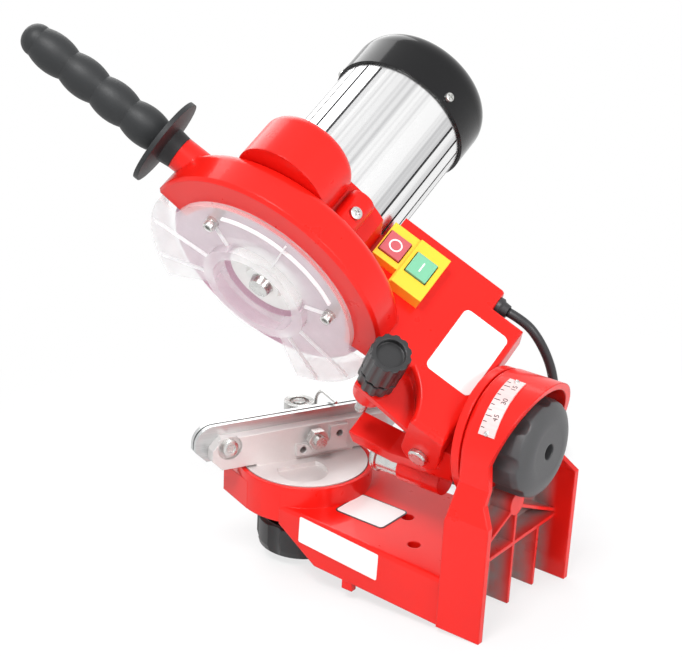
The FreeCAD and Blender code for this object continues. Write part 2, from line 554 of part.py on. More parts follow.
def make_chain_stop():
    block = new_body("chain_stop_bracket", turret_frame)
    low = "turret_top + seat_gap"
    pad(block, "XY", low, "stop_block_top", box_loop(
        "-stop_x - stop_block", "-stop_x + stop_block", "-stop_y - stop_block", "-stop_y + stop_block"))
    pocket(block, "XY", f"{low} + 3", "stop_block_top + 1",
           circle("-stop_x", "-stop_y", "stop_screw + running_gap"))
    knob = new_body("chain_stop_knob", turret_frame)
    knob_low = "stop_block_top + turret_lift"
    pad(knob, "XY", knob_low, "stop_knob_top", circle("-stop_x", "-stop_y", "stop_knob_radius"))
    pad(knob, "XY", f"{low} + 4", knob_low, circle("-stop_x", "-stop_y", "stop_screw"))
    pocket(knob, "XY", "stop_knob_top - 1.5", "stop_knob_top + 1",
           circle("-stop_x", "-stop_y", "stop_knob_radius * 0.65"),
           circle("-stop_x", "-stop_y", "stop_knob_radius * 0.4"))


# Bent spring-wire pawl: from its eye beside the block, up, and over both rails to the bar.
def make_pawl():
    pawl = doc.addObject("Part::Feature", "chain_stop_pawl")
    pawl.Label = "chain_stop_pawl"
    across = -size("pawl_x")
    eye = -size("stop_y")
    tip = -size("bar_thick")
    low = size("pawl_pivot")
    high = size("pawl_top - pawl_wire")
    bend = size("pawl_bend")
    block_side = -size("stop_x + stop_block + turret_lift")
    corners = [
        Vector(block_side, eye, low), Vector(across, eye, low), Vector(across, eye, high - bend),
        Vector(across, eye + bend, high), Vector(across, tip, high)]
    pawl.Shape = tube_along(corners, size("pawl_wire"), wire_bend_share)
    pawl.Placement = turret_place
    pieces.append(pawl)


def tangent_path(corners, share):
    # Straight runs joined by tangent arcs, each as large as its two runs allow.
    edges = []
    radii = []
    here = corners[0]
    for before, corner, after in zip(corners, corners[1:], corners[2:]):
        back = (before - corner).normalize()
        onward = (after - corner).normalize()
        reach = share * min((before - corner).Length, (after - corner).Length)
        half_turn = (math.pi - back.getAngle(onward)) / 2
        radius = reach / math.tan(half_turn)
        radii.append(radius)
        inward = (back + onward).normalize()
        middle = corner + inward * (radius / math.cos(half_turn) - radius)
        start = corner + back * reach
        finish = corner + onward * reach
        edges.append(Part.LineSegment(here, start).toShape())
        edges.append(Part.Arc(start, middle, finish).toShape())
        here = finish
    edges.append(Part.LineSegment(here, corners[-1]).toShape())
    return Part.Wire(edges), radii


def tube_on(wire, start, heading, radius):
    section = Part.Wire([Part.Circle(start, heading, radius).toShape()])
    return wire.makePipeShell([section], True, False)


def tube_along(corners, radius, share):
    wire, radii = tangent_path(corners, share)
    return tube_on(wire, corners[0], corners[1] - corners[0], radius)


# Tilt bracket: a round foot on the upright, a hinge knuckle on two necks and the stop bar of the depth screw.
def make_bracket():
    bracket = new_body("tilt_bracket", tilt_frame)
    foot_back = "upright_front - bracket_gap"
    foot_front = f"{foot_back} - bracket_thick"
    pad(bracket, "XZ", foot_front, foot_back, circle("0", "0", "bracket_radius"))
    pad(bracket, "XZ", f"{foot_front} - bracket_boss_thick", foot_front, circle("0", "0", "bracket_boss"))
    neck = [(f"{foot_front} + 1", "neck_high"), (f"{foot_front} + 1", "-neck_low"),
            ("hinge_y - 2", "hinge_w - knuckle_radius"),
            ("hinge_y + knuckle_radius * 0.6", "hinge_w + knuckle_radius * 0.5")]
    pad(bracket, "YZ", "-knuckle_half", "knuckle_half", circle("hinge_y", "hinge_w", "knuckle_radius"))
    for inner, outer in (("neck_inner", "knuckle_half"), ("-knuckle_half", "-neck_inner")):
        pad(bracket, "YZ", inner, outer, neck)
    knee = "hinge_y - stop_bar_knee"
    tip = "hinge_y - stop_bar_reach"
    pad(bracket, "YZ", "stop_bar_inner", "knuckle_half", [
        (tip, "hinge_w - stop_bar_tip"), (knee, "hinge_w - stop_bar_knee_drop"),
        ("hinge_y + knuckle_radius", "hinge_w - stop_bar_root"),
        ("hinge_y + knuckle_radius", "hinge_w - stop_bar_root - stop_bar_thick"),
        (knee, "hinge_w - stop_bar_knee_drop - stop_bar_thick"),
        (tip, "hinge_w - stop_bar_tip - stop_bar_thick")])
    pad(bracket, "XZ", "-sleeve_boss_front", "sleeve_boss_back",
        circle("sleeve_n", "-sleeve_w", "sleeve_boss"))
    pocket(bracket, "XZ", "-sleeve_boss_front - 1", "-sleeve_boss_front + sleeve_length / 2",
           circle("sleeve_n", "-sleeve_w", "sleeve_pin + thread_gap"))
    pocket(bracket, "YZ", "-knuckle_half - 1", "knuckle_half + 1",
           circle("hinge_y", "hinge_w", "pin_radius + running_gap"))
    pocket(bracket, "XZ", f"{foot_front} - bracket_boss_thick - 1", f"{foot_back} + 1",
           circle("0", "0", "stud_radius + hole_gap"))
    hinge_axis = tilt_frame + " * placement(vector(0; hinge_y; hinge_w); rotation(vector(1; 0; 0); 0))"
    pin = new_body("hinge_pin", hinge_axis)
    seat = "knuckle_half + ear_gap + ear_thick + seat_gap"
    nut_back = f"-({seat}) - pin_nut_thick"
    pin_end = f"{nut_back} - 1"
    spin(pin, "H", [
        (pin_end, "0"), (pin_end, "pin_radius"), (seat, "pin_radius"), (seat, "pin_head"),
        (f"{seat} + pin_head_thick * 0.7", "pin_head"), (f"{seat} + pin_head_thick", "pin_head * 0.85"),
        (f"{seat} + pin_head_thick", "0")])
    nut = new_body("hinge_nut", hinge_axis)
    pad(nut, "YZ", nut_back, f"-({seat})",
        [polar("pin_nut", str(60 * step)) for step in range(6)], circle("0", "0", "pin_radius + thread_gap"))


def make_stop_sleeve():
    # Polished bush on a short pin under the stop bar, with a wider rounded end.
    frame = (tilt_frame + " * placement(vector(sleeve_n; -sleeve_boss_front - seat_gap; -sleeve_w);"
             " rotation(vector(1; 0; 0); 0))")
    sleeve = new_body("stop_sleeve", frame)
    collar = "-sleeve_length * 0.7"
    spin(sleeve, "V", [
        ("0", "sleeve_length / 2 - 1"), ("sleeve_pin", "sleeve_length / 2 - 1"), ("sleeve_pin", "0"),
        ("sleeve_radius", "0"), ("sleeve_radius", collar), ("sleeve_boss", f"{collar} - 1"),
        via(("sleeve_boss * 0.85", "-sleeve_length + 2")), ("sleeve_boss * 0.5", "-sleeve_length"),
        ("0", "-sleeve_length")])


# Head casting: arm shell with hinge ears, wheel guard, motor seat, capacitor bulge and depth lug, in one.
def plate_at(along, below="0"):
    # Height of the arm's sloping top plate, or of a level under it.
    return f"plate_rise - plate_slope * ({along}) - ({below})"


def slab(body, far, near_side, front, rear, top, low):
    # A stretch of the arm between two levels under the sloping plate.
    pad(body, "YZ", far, near_side, [
        (front, plate_at(front, top)), (rear, plate_at(rear, top)),
        (rear, plate_at(rear, low)), (front, plate_at(front, low))])


def wall(body, far, near_side, front, rear):
    # A wall of the arm shell from under the plate's rounded edge down to the shell's lower edge.
    pad(body, "YZ", far, near_side, [
        (front, plate_at(front, "edge_round")), (rear, plate_at(rear, "edge_round")),
        (rear, "wall_low"), (front, "wall_low")])


def make_arm(cast):
    ear_inner = "knuckle_half + ear_gap"
    ear_outer = f"{ear_inner} + ear_thick"
    above = "3 * plate_rise"
    slab(cast, "-plate_far", ear_outer, "-plate_front", "arm_rear", "0", "plate_thick")
    slab(cast, "-shoulder_back", ear_outer, "-plate_front", "-ear_front + 2", "plate_thick - 1",
         "web_drop + plate_thick")
    pocket(cast, "XY", "0", above, [
        ("guard_front", "-plate_front - 1"), ("guard_front", "-arm_reach + guard_radius"),
        ("ridge_n", "-ridge_y"),
        via(("ridge_middle_n", "-ridge_middle_y")), (f"{ear_outer} + 1", "-ear_front"),
        (f"{ear_outer} + 1", "-plate_front - 1")])
    pocket(cast, "XY", "0", above, [
        ("-plate_far - 1", "-arm_notch"), ("-notch_far", "-arm_notch"), ("-notch_far", "arm_rear + 1"),
        ("-plate_far - 1", "arm_rear + 1")])
    rise = size("plate_rise")
    slope = size("plate_slope")
    front = size("plate_front")
    soften(cast, "edge_round", lambda spot: near(spot.z, rise - slope * spot.y) and spot.y > 1 - front)
    slab(cast, "0", ear_outer, "-web_front", "-ear_front + 2", "web_drop", "web_drop + plate_thick")
    pocket(cast, "XY", "0", above, [
        ("web_near", "-plate_front"), ("web_near", "-web_front"), (ear_outer, "-ear_front"),
        (f"{ear_outer} + 1", "-ear_front"), (f"{ear_outer} + 1", "-plate_front")])
    wall(cast, "-plate_far", "-plate_far + arm_wall", "-plate_front", "-arm_notch")
    wall(cast, "-plate_far", "-notch_far", "-arm_notch - arm_wall", "-arm_notch")
    wall(cast, "-notch_far", "-notch_far + arm_wall", "-arm_notch - arm_wall", "arm_rear")
    wall(cast, "-notch_far", ear_outer, "arm_rear - arm_wall", "arm_rear")
    for inner, outer in ((ear_inner, ear_outer), (f"-({ear_outer})", f"-({ear_inner})")):
        pad(cast, "YZ", inner, outer, [
            ("-ear_radius", "0"), via(("0", "-ear_radius")), ("ear_radius", "0"),
            ("arm_rear", plate_at("arm_rear", "edge_round")),
            ("-ear_front", plate_at("-ear_front", "edge_round"))])
    pocket(cast, "YZ", f"-({ear_outer}) - 1", f"{ear_outer} + 1",
           circle("0", "0", "pin_radius + running_gap"))
    pad(cast, "XZ", "-arm_notch - relief_sink - 2", "-arm_notch",
        circle("-relief_n", "relief_w", "relief_boss"))
    pocket(cast, "XZ", "-arm_notch - relief_sink", "-arm_notch + 1",
           circle("-relief_n", "relief_w", "relief_shank + thread_gap"))
    pocket(cast, "XY", "0", above, box_loop(
        "-switch_n - switch_body_high - button_gap", "-switch_n - switch_body_low + button_gap",
        "-switch_y - switch_body_half - plate_slope * switch_body_depth - button_gap",
        "-switch_y + switch_body_half + button_gap"))


def make_head():
    cast = helper_body("head_body")
    hub = ("-arm_reach", "wheel_rise")
    inner_back = "-guard_back + guard_plate"
    make_arm(cast)
    pocket(cast, "YZ", inner_back, "3 * knuckle_half", circle(*hub, "wing_radius + wing_back"))
    seat_end = "-arm_back - seat_lip"
    pad(cast, "YZ", seat_end, inner_back, circle(*hub, "seat_radius"))
    lug_spot = ("-arm_reach + (seat_radius + 2) * cos(seat_lug_angle)",
                "wheel_rise + (seat_radius + 2) * sin(seat_lug_angle)")
    pad(cast, "YZ", "-arm_back", "-guard_back", circle(*lug_spot, "seat_lug"))
    bulge = make_bulge()
    switch_front = "-switch_y - switch_front - 2 * switch_room"
    pocket(cast, "YZ", "-switch_n - switch_top - switch_room", "-switch_n + switch_top + switch_room", [
        (switch_front, plate_at(switch_front)), ("-switch_y", plate_at("-switch_y")),
        ("-switch_y", plate_at("-switch_y", "-switch_clear")),
        (switch_front, plate_at(switch_front, "-switch_clear"))])
    pocket(cast, "YZ", "-3 * arm_back", "-arm_back", circle(*hub, "motor_room"))
    pocket(cast, "YZ", seat_end, "guard_front", circle(*hub, "spindle_hole"))
    pocket(cast, "YZ", seat_end, "-bearing_bottom", circle(*hub, "bearing_radius + thread_gap"))
    depth_axis = "placement(vector(depth_n; -depth_y; depth_w); rotation(vector(1; 0; 0); -depth_lean))"
    lug = add_cylinder("depth_lug", "lug_radius", "lug_low - lug_top",
                       depth_axis + " * placement(vector(0; 0; -lug_low); rotation(vector(1; 0; 0); 0))")
    lug_hole = add_cylinder("depth_lug_hole", "depth_screw + running_gap", "2 * lug_low", depth_axis
                            + " * placement(vector(0; 0; -1.5 * lug_low); rotation(vector(1; 0; 0); 0))")
    along_handle = ("placement(vector(-handle_n; -arm_reach - handle_y; wheel_rise + handle_w);"
                    " rotation(vector(1; 0; 0); handle_angle - 90))")
    sink = " * placement(vector(0; 0; -boss_sink); rotation(vector(1; 0; 0); 0))"
    boss = add_cylinder("handle_boss", "handle_boss", "boss_sink + boss_reach", along_handle + sink)
    boss_hole = add_cylinder("handle_boss_hole", "stud_radius + thread_gap", "2 * boss_sink",
                             along_handle + sink)
    guard = make_guard_ring()
    across = " rotation(vector(0; 1; 0); 90))"
    inside = add_cylinder("guard_inside", "guard_radius - guard_wall",
                          "guard_back + guard_front - 2 * guard_plate",
                          "placement(vector(guard_plate - guard_back; -arm_reach; wheel_rise);" + across)
    motor_hole = add_cylinder("motor_hole", "motor_room", "arm_back",
                              "placement(vector(-2 * arm_back; -arm_reach; wheel_rise);" + across)
    can_hole = add_cylinder("capacitor_hole", "capacitor_radius + capacitor_room",
                            "bulge_end - capacitor_front + 2",
                            "placement(vector(-bulge_end - 1; -arm_reach - capacitor_y;"
                            " wheel_rise + capacitor_w);" + across)
    joined = doc.addObject("Part::MultiFuse", "head_joined")
    joined.Shapes = [cast, guard, bulge, lug, boss]
    tools = doc.addObject("Part::MultiFuse", "head_tools")
    tools.Shapes = [lug_hole, boss_hole, inside, motor_hole, can_hole]
    head = doc.addObject("Part::Cut", "head_casting")
    head.Label = "head_casting"
    head.Base = joined
    head.Tool = tools
    place(head, arm_frame)
    pieces.append(head)


def make_bulge():
    # Round-topped bulge on the guard's back for the capacitor.
    bulge = helper_body("capacitor_bulge")
    place(bulge, "placement(vector(0; -arm_reach - bulge_y; wheel_rise + bulge_w);"
          " rotation(vector(1; 0; 0); 0))")
    corner = "bulge_round * (1 - sqrt(0.5))"
    spin(bulge, "H", [
        ("-guard_back", "0"), ("-guard_back", "bulge_radius"), ("-bulge_end + bulge_round", "bulge_radius"),
        via((f"-bulge_end + {corner}", f"bulge_radius - {corner}")),
        ("-bulge_end", "bulge_radius - bulge_round"), ("-bulge_end", "0")])
    return bulge


def make_guard_ring():
    # The wheel guard: a dished disc with a rounded rim and a front lip, open below the wheel.
    ring = helper_body("guard_ring")
    place(ring, "placement(vector(0; -arm_reach; wheel_rise); rotation(vector(1; 0; 0); 0))")
    inner = "guard_radius - guard_wall"
    corner = "guard_round * (1 - sqrt(0.5))"
    spin(ring, "H", [
        ("-guard_back", "spindle_hole"), ("-guard_back", "guard_radius - guard_round"),
        via((f"-guard_back + {corner}", f"guard_radius - {corner}")),
        ("-guard_back + guard_round", "guard_radius"),
        ("guard_front - guard_edge", "guard_radius"), ("guard_front", "guard_radius - guard_edge"),
        ("guard_front", "guard_mouth"), ("guard_front - guard_plate", "guard_mouth"),
        ("guard_front - guard_plate", inner), ("-guard_back + guard_plate", inner),
        ("-guard_back + guard_plate", "spindle_hole")])
    reach = "guard_radius + guard_wall"
    pocket(ring, "YZ", "-guard_back - 1", "guard_front + 1", [
        ("0", "0"), polar(reach, "guard_middle + guard_half"), via(polar(reach, "guard_middle + 180")),
        polar(reach, "guard_middle - guard_half")])
    return ring


def add_cylinder(name, radius, height, frame):
    cylinder = doc.addObject("Part::Cylinder", name)
    cylinder.setExpression("Radius", cell(radius))
    cylinder.setExpression("Height", cell(height))
    place(cylinder, frame)
    return cylinder


# Grinding wheel between its flanges, on the motor's spindle.
def make_wheel():
    half = "wheel_thick / 2"
    wheel = new_body("grinding_wheel", spindle_frame)
    spin(wheel, "H", [
        (f"-({half})", "wheel_bore"), (half, "wheel_bore"), (half, "wheel_radius - 1"), ("0", "wheel_radius"),
        (f"-({half})", "wheel_radius - 1")])
    bore = "spindle_radius + thread_gap"
    inner = new_body("inner_flange", spindle_frame)
    inner_back = f"-({half}) - flange_thick"
    spin(inner, "H", [
        (inner_back, bore), (f"{half} - 0.2", bore), (f"{half} - 0.2", "wheel_bore - thread_gap"),
        (f"-({half})", "wheel_bore - thread_gap"), (f"-({half})", "flange_radius"),
        (inner_back, "flange_radius")])
    outer = new_body("outer_flange", spindle_frame)
    front = f"{half} + flange_thick"
    spin(outer, "H", [
        (half, bore), (f"{front} + flange_hub_thick", bore), (f"{front} + flange_hub_thick", "flange_hub"),
        (front, "flange_hub + 2"), (f"{front} - 1", "flange_radius"), (half, "flange_radius")])
    screw = new_body("spindle_screw", spindle_frame)
    seat = f"{front} + flange_hub_thick"
    spin(screw, "H", [
        ("spindle_front - screw_depth", "0"), ("spindle_front - screw_depth", "screw_radius"),
        (seat, "screw_radius"), (seat, "screw_head"), (f"{seat} + screw_head_thick", "screw_head * 0.85"),
        (f"{seat} + screw_head_thick", "0")])
    spindle = new_body("spindle", spindle_frame)
    hole = "spindle_front - screw_depth - 1"
    spin(spindle, "H", [
        ("-spindle_back", "0"), (hole, "0"), (hole, "screw_radius + thread_gap"),
        ("spindle_front", "screw_radius + thread_gap"), ("spindle_front", "spindle_radius"),
        (inner_back, "spindle_radius"), (inner_back, "spindle_radius + 1.5"),
        ("-bearing_bottom + 0.5", "spindle_radius + 1.5"), ("-bearing_bottom + 0.5", "spindle_radius"),
        ("-spindle_back", "spindle_radius")])


# Motor: grooved housing tube, stator, rotor, two bearings, a rear shield and the plastic cap.
def make_motor():
    housing = new_body("motor_housing", spindle_frame)
    front = "-arm_back - seat_gap"
    spin(housing, "H", [
        ("-motor_back", "motor_bore"), (front, "motor_bore"), (front, "motor_radius"),
        ("-motor_back", "motor_radius")])
    inner = "motor_radius - groove_depth"
    half = "groove_width / 2"

    def spot(radius, side):
        along = f"({radius}) * cos(groove_first) - ({side}) * sin(groove_first)"
        return (along, f"({radius}) * sin(groove_first) + ({side}) * cos(groove_first)")

    groove = pocket(housing, "YZ", "-motor_back + cap_overlap + 2", "-arm_back - 4", [
        spot(inner, f"-({half})"), spot("motor_radius + 1", f"-({half})"), spot("motor_radius + 1", half),
        spot(inner, half)])
    repeat_round(housing, groove, "X", "groove_span", "groove_count")
    stator = new_body("stator", spindle_frame)
    far = "-core_back - winding_length"
    near_end = "-core_front + winding_length"
    spin(stator, "H", [
        ("-core_back", "stator_bore"), ("-core_front", "stator_bore"), ("-core_front", "winding_inner"),
        (f"{near_end} - 2", "winding_inner"), (near_end, "winding_inner + 2"),
        (near_end, "winding_outer - 2"), (f"{near_end} - 2", "winding_outer"),
        ("-core_front", "winding_outer"),
        ("-core_front", "motor_bore - seat_gap"), ("-core_back", "motor_bore - seat_gap"),
        ("-core_back", "winding_outer"), (f"{far} + 2", "winding_outer"),
        (far, "winding_outer - 2"), (far, "winding_inner + 2"), (f"{far} + 2", "winding_inner"),
        ("-core_back", "winding_inner")])
    rotor = new_body("rotor", spindle_frame)
    spin(rotor, "H", box_loop("-core_back", "-core_front", "spindle_radius + thread_gap", "rotor_radius"))
    bearing = new_body("front_bearing", spindle_frame)
    spin(bearing, "H", box_loop("-bearing_bottom - bearing_width", "-bearing_bottom",
                                "spindle_radius + running_gap", "bearing_radius"))
    shield = new_body("motor_shield", spindle_frame)
    shield_front = "-motor_back - seat_gap"
    shield_back = f"{shield_front} - shield_thick"
    hub_front = f"{shield_front} + bearing_width + 2"
    spin(shield, "H", [
        (shield_back, "spindle_radius + 2"), (f"{shield_front} - 1", "spindle_radius + 2"),
        (f"{shield_front} - 1", "rear_bearing_radius + thread_gap"),
        (hub_front, "rear_bearing_radius + thread_gap"),
        (hub_front, "shield_hub"), (shield_front, "shield_hub"), (shield_front, "motor_radius - 0.2"),
        (shield_back, "motor_radius - 0.2")])
    rear = new_body("rear_bearing", spindle_frame)
    spin(rear, "H", box_loop(f"{shield_front} - 0.9", f"{shield_front} - 0.9 + bearing_width",
                             "spindle_radius + running_gap", "rear_bearing_radius"))
    cap = new_body("motor_cap", spindle_frame)
    rim = "-motor_back + cap_overlap"
    inside = "cap_radius - cap_wall"
    inner_round = "cap_round - cap_wall"
    shoulder = "-cap_end + cap_round"
    face = "cap_radius - cap_round"
    bend = "sqrt(0.5)"
    spin(cap, "H", [
        (rim, inside), (rim, "cap_radius"), (shoulder, "cap_radius"),
        via((f"{shoulder} - cap_round * {bend}", f"{face} + cap_round * {bend}")), ("-cap_end", face),
        ("-cap_end", "0"), ("-cap_end + cap_wall", "0"), ("-cap_end + cap_wall", face),
        via((f"{shoulder} - ({inner_round}) * {bend}", f"{face} + ({inner_round}) * {bend}")),
        (shoulder, inside)])
    can = new_body("capacitor", spindle_frame)
    pad(can, "YZ", "-capacitor_back", "-capacitor_front",
        circle("-capacitor_y", "capacitor_w", "capacitor_radius"))
    cover = new_body("capacitor_cover", spindle_frame)
    pad(cover, "YZ", "-bulge_end - seat_gap - cover_thick", "-bulge_end - seat_gap",
        circle("-capacitor_y", "capacitor_w", "cover_radius"))


# Clear guard: a thin front plate with a rim, two wings past the cast guard and a port round the spindle.
def make_clear_guard():
    guard = new_body("clear_guard", spindle_frame)
    first = "guard_middle + guard_half"
    last = "guard_middle - guard_half"
    left_end = f"{first} + wing_span"
    right_end = f"{last} - wing_span"
    front = "clear_back + clear_thick"
    pad(guard, "YZ", "clear_back", front, [
        polar("wing_radius", right_end), via(polar("wing_radius", f"{last} - wing_span / 2")),
        polar("wing_radius", last),
        polar("clear_radius", last), via(polar("clear_radius", "guard_middle")), polar("clear_radius", first),
        polar("wing_radius", first), via(polar("wing_radius", f"{first} + wing_span / 2")),
        polar("wing_radius", left_end), polar("ring_outer", left_end),
        via(polar("ring_outer", "guard_middle + 180")), polar("ring_outer", right_end)])

    def skirt(radius, start, finish, back):
        inner = f"{radius} - clear_thick"
        middle = f"({start} + {finish}) / 2"
        pad(guard, "YZ", back, "clear_back", [
            polar(radius, start), via(polar(radius, middle)), polar(radius, finish),
            polar(inner, finish), via(polar(inner, middle)), polar(inner, start)])

    skirt("clear_radius", last, first, "guard_front + seat_gap")
    skirt("wing_radius", f"{first} + 1", left_end, "-wing_back")
    skirt("wing_radius", right_end, f"{last} - 1", "-wing_back")
    pad(guard, "YZ", "ring_back", "ring_front", circle("0", "0", "ring_outer"))
    pocket(guard, "YZ", "ring_back - 1", "ring_front + 1", circle("0", "0", "ring_inner"))
    for angle in ("post_first", "post_second"):
        pocket(guard, "YZ", "guard_front", f"{front} + 1", circle(*polar("post_circle", angle), "post_hole"))
    posts = new_body("guard_posts", spindle_frame)
    for angle in ("post_first", "post_second"):
        pad(posts, "YZ", "guard_front - guard_plate", "post_front",
            circle(*polar("post_circle", angle), "post_radius"))


def make_handle():
    grip = new_body("handle_grip", handle_frame)
    bore = "stud_radius + thread_gap"
    start = "boss_reach + seat_gap"
    disc_end = "finger_disc_at + finger_disc_thick"
    waist = f"{disc_end} + 2"
    wave = f"(grip_end - grip_radius - ({waist})) / grip_waves"
    waves = []
    for step in range(int(size("grip_waves"))):
        waves.append(("grip_radius", f"{waist} + {wave} * {step}"))
        waves.append(via(("grip_swell", f"{waist} + {wave} * {step + 0.5}")))
    spin(grip, "V", [
        (bore, start), ("handle_boss", start), ("handle_boss + 1", "finger_disc_at - 2"),
        ("finger_disc", "finger_disc_at"), ("finger_disc", disc_end), *waves,
        ("grip_radius", "grip_end - grip_radius"),
        via(("grip_radius * 0.75", "grip_end - grip_radius * 0.25")), ("grip_radius * 0.3", "grip_end"),
        ("0", "grip_end"), ("0", "handle_stud_depth + 1"), (bore, "handle_stud_depth + 1")])
    stud = new_body("handle_stud", handle_frame)
    spin(stud, "V", box_loop("0", "stud_radius", "2 - boss_sink", "handle_stud_depth"))


# Switch: a two-level housing on the arm's plate with a stop and a start button in their wells.
def make_switch():
    housing = new_body("switch_housing", switch_frame)
    outline = [
        ("-switch_front", "switch_top"), ("-switch_front", "-switch_waist"),
        ("-switch_step", "-switch_waist"), ("-switch_step", "-switch_top"),
        ("switch_rear", "-switch_top"), ("switch_rear", "switch_top")]
    pad(housing, "YZ", "seat_gap", "switch_low_level", outline)
    pad(housing, "YZ", "switch_low_level", "switch_high_level", box_loop(
        "-switch_step / 2", "switch_rear", "-switch_top", "switch_top"))
    pad(housing, "YZ", "-switch_body_depth", "1", box_loop(
        "-switch_body_half", "switch_body_half", "switch_body_low", "switch_body_high"))
    buttons = [
        ("stop_button", "-stop_button_y", "stop_button_w", "switch_low_level"),
        ("start_button", "start_button_y", "start_button_w", "switch_high_level")]
    for name, across, up, level in buttons:
        half_y = "button_half_y + button_gap"
        half_w = "button_half_w + button_gap"
        pocket(housing, "YZ", "well_floor", "switch_high_level + 1", box_loop(
            f"{across} - ({half_y})", f"{across} + {half_y}", f"{up} - ({half_w})", f"{up} + {half_w}"))
    for name, across, up, level in buttons:
        button = new_body(name, switch_frame)
        pad(button, "YZ", "well_floor + button_travel + 0.5", f"{level} + button_proud", box_loop(
            f"{across} - button_half_y", f"{across} + button_half_y",
            f"{up} - button_half_w", f"{up} + button_half_w"))


# Depth stop: a leaning screw through the lug, its knob and the lock ring.
def make_depth_stop():
    screw = new_body("depth_screw", depth_frame)
    pad(screw, "XY", "-depth_tip", "depth_knob_high - knob_dish_depth - 3", circle("0", "0", "depth_screw"))
    bore = circle("0", "0", "depth_screw + running_gap")
    ring = new_body("depth_lock_ring", depth_frame)
    pad(ring, "XY", "-ring_half", "ring_half", circle("0", "0", "ring_radius"), bore)
    cut_flutes(ring, "ring_radius", "-ring_half - 1", "ring_half + 1")
    knob = new_body("depth_knob", depth_frame)
    pad(knob, "XY", "depth_knob_low", "depth_knob_high", circle("0", "0", "depth_knob_radius"))
    cut_flutes(knob, "depth_knob_radius", "depth_knob_low - 1", "depth_knob_high + 1")
    dish_floor = "depth_knob_high - knob_dish_depth"
    pocket(knob, "XY", dish_floor, "depth_knob_high + 1", circle("0", "0", "knob_dish"))
    pocket(knob, "XY", "depth_knob_low - 1", f"{dish_floor} - 2", bore)


def cut_flutes(body, radius, low, high):
    flute = pocket(body, "XY", low, high,
                   circle(f"{radius} + flute_radius - flute_depth", "0", "flute_radius"))
    repeat_round(body, flute, "Z", "360", "flute_count")


def make_relief():
    relief = new_body("strain_relief", relief_frame)
    spin(relief, "V", [
        ("0", "1 - relief_sink"), ("relief_shank", "1 - relief_sink"), ("relief_shank", "seat_gap"),
        ("relief_flange", "seat_gap"), ("relief_flange", "relief_length / 3"),
        ("relief_shank", "relief_length / 2"), ("relief_tip", "relief_length"), ("0", "relief_length")])


# Mains cord: a free stretch from the strain relief to the floor, then a put-away coil with its tie and plug.
def place_of(frame):
    return sheet.evalExpression(cell(frame))


def biarc(start, heading, finish, final):
    # Two equal-reach tangent arcs from one point and heading to another.
    gap = finish - start
    both = heading + final
    spread = 2 * (1 - heading.dot(final))
    reach = (math.sqrt(gap.dot(both) ** 2 + spread * gap.dot(gap)) - gap.dot(both)) / spread
    first_corner = start + heading * reach
    last_corner = finish - final * reach
    joint = (first_corner + last_corner) * 0.5
    return [arc_round(start, first_corner, joint), arc_round(joint, last_corner, finish)]


def arc_round(start, corner, finish):
    chord_middle = (start + finish) * 0.5
    rise = (corner - chord_middle).Length
    reach = (corner - start).Length
    half_chord = (finish - start).Length / 2
    radius = half_chord * reach / rise
    middle = chord_middle + (corner - chord_middle) * (radius * (1 - half_chord / reach) / rise)
    return Part.Arc(start, middle, finish).toShape()


def least_gap(edges, radius, skip):
    # Smallest clear distance between stretches of the tube further apart along it than the skip length.
    marks = []
    run = 0
    for edge in edges:
        count = max(2, int(edge.Length / radius))
        for spot in edge.discretize(count)[:-1]:
            marks.append((run, spot))
            run += edge.Length / (count - 1)
    return min(first.distanceToPoint(second) for at, first in marks for there, second in marks
               if there - at > skip) - 2 * radius


def make_coil():
    # Loops wind inwards on the floor, climb a layer in the half turn where the spiral reverses, and wind out.
    half_turns = int(size("coil_half_turns"))
    step = size("coil_step") / 2
    low = size("coil_lift + cord_radius")
    high = low + size("coil_layer")
    centre = Vector(-size("coil_x"), -size("coil_run"), 0)
    inner = size("coil_radius") - half_turns * step
    stations = [(size("coil_radius") - index * step, low) for index in range(half_turns + 1)]
    stations += [(inner + index * step, high) for index in range(half_turns + 1)]
    tucked = inner - size("coil_tuck")
    stations[half_turns] = (tucked, low)
    stations[half_turns + 1] = (tucked, high)
    knots = []
    for index, (radius, height) in enumerate(stations):
        side = -1 if index % 2 == 0 else 1
        knots.append((centre + Vector(side * radius, 0, height), Vector(0, -side, 0)))
    lead = 2 * size("cord_radius")
    start, heading = knots[0]
    edges = [Part.LineSegment(start - heading * lead, start).toShape()]
    for (here, way), (there, onward) in zip(knots, knots[1:]):
        edges += biarc(here, way, there, onward)
    last, final = knots[-1]
    edges.append(Part.LineSegment(last, last + final * lead).toShape())
    radius = size("cord_radius")
    print("coil: least gap to itself", round(least_gap(edges, radius, 16 * radius), 2))
    coil = doc.addObject("Part::Feature", "cord_coil")
    coil.Label = "cord_coil"
    coil.Shape = tube_on(Part.Wire(edges), start - heading * lead, heading, radius)
    coil.Placement = place_of(floor_frame)
    pieces.append(coil)
    length = sum(edge.Length for edge in edges)
    return start - heading * lead, last + final * lead, length


def make_tie():
    tie = new_body("coil_tie", floor_frame)
    innermost = "coil_radius - coil_step * coil_half_turns / 2 - coil_tuck"
    inner_low = f"{innermost} - cord_radius - tie_gap"
    inner_high = "coil_radius - coil_step * 3 / 4 + cord_radius + tie_gap"
    bottom = "coil_lift - tie_gap"
    top = "coil_lift + coil_layer + 2 * cord_radius + tie_gap"
    near_end = f"-coil_run - ({inner_low})"
    far = f"-coil_run - ({inner_high})"
    pad(tie, "YZ", "-coil_x - tie_width / 2", "-coil_x + tie_width / 2",
        box_loop(f"{far} - tie_thick", f"{near_end} + tie_thick",
                 f"{bottom} - tie_thick", f"{top} + tie_thick"),
        box_loop(far, near_end, bottom, top))


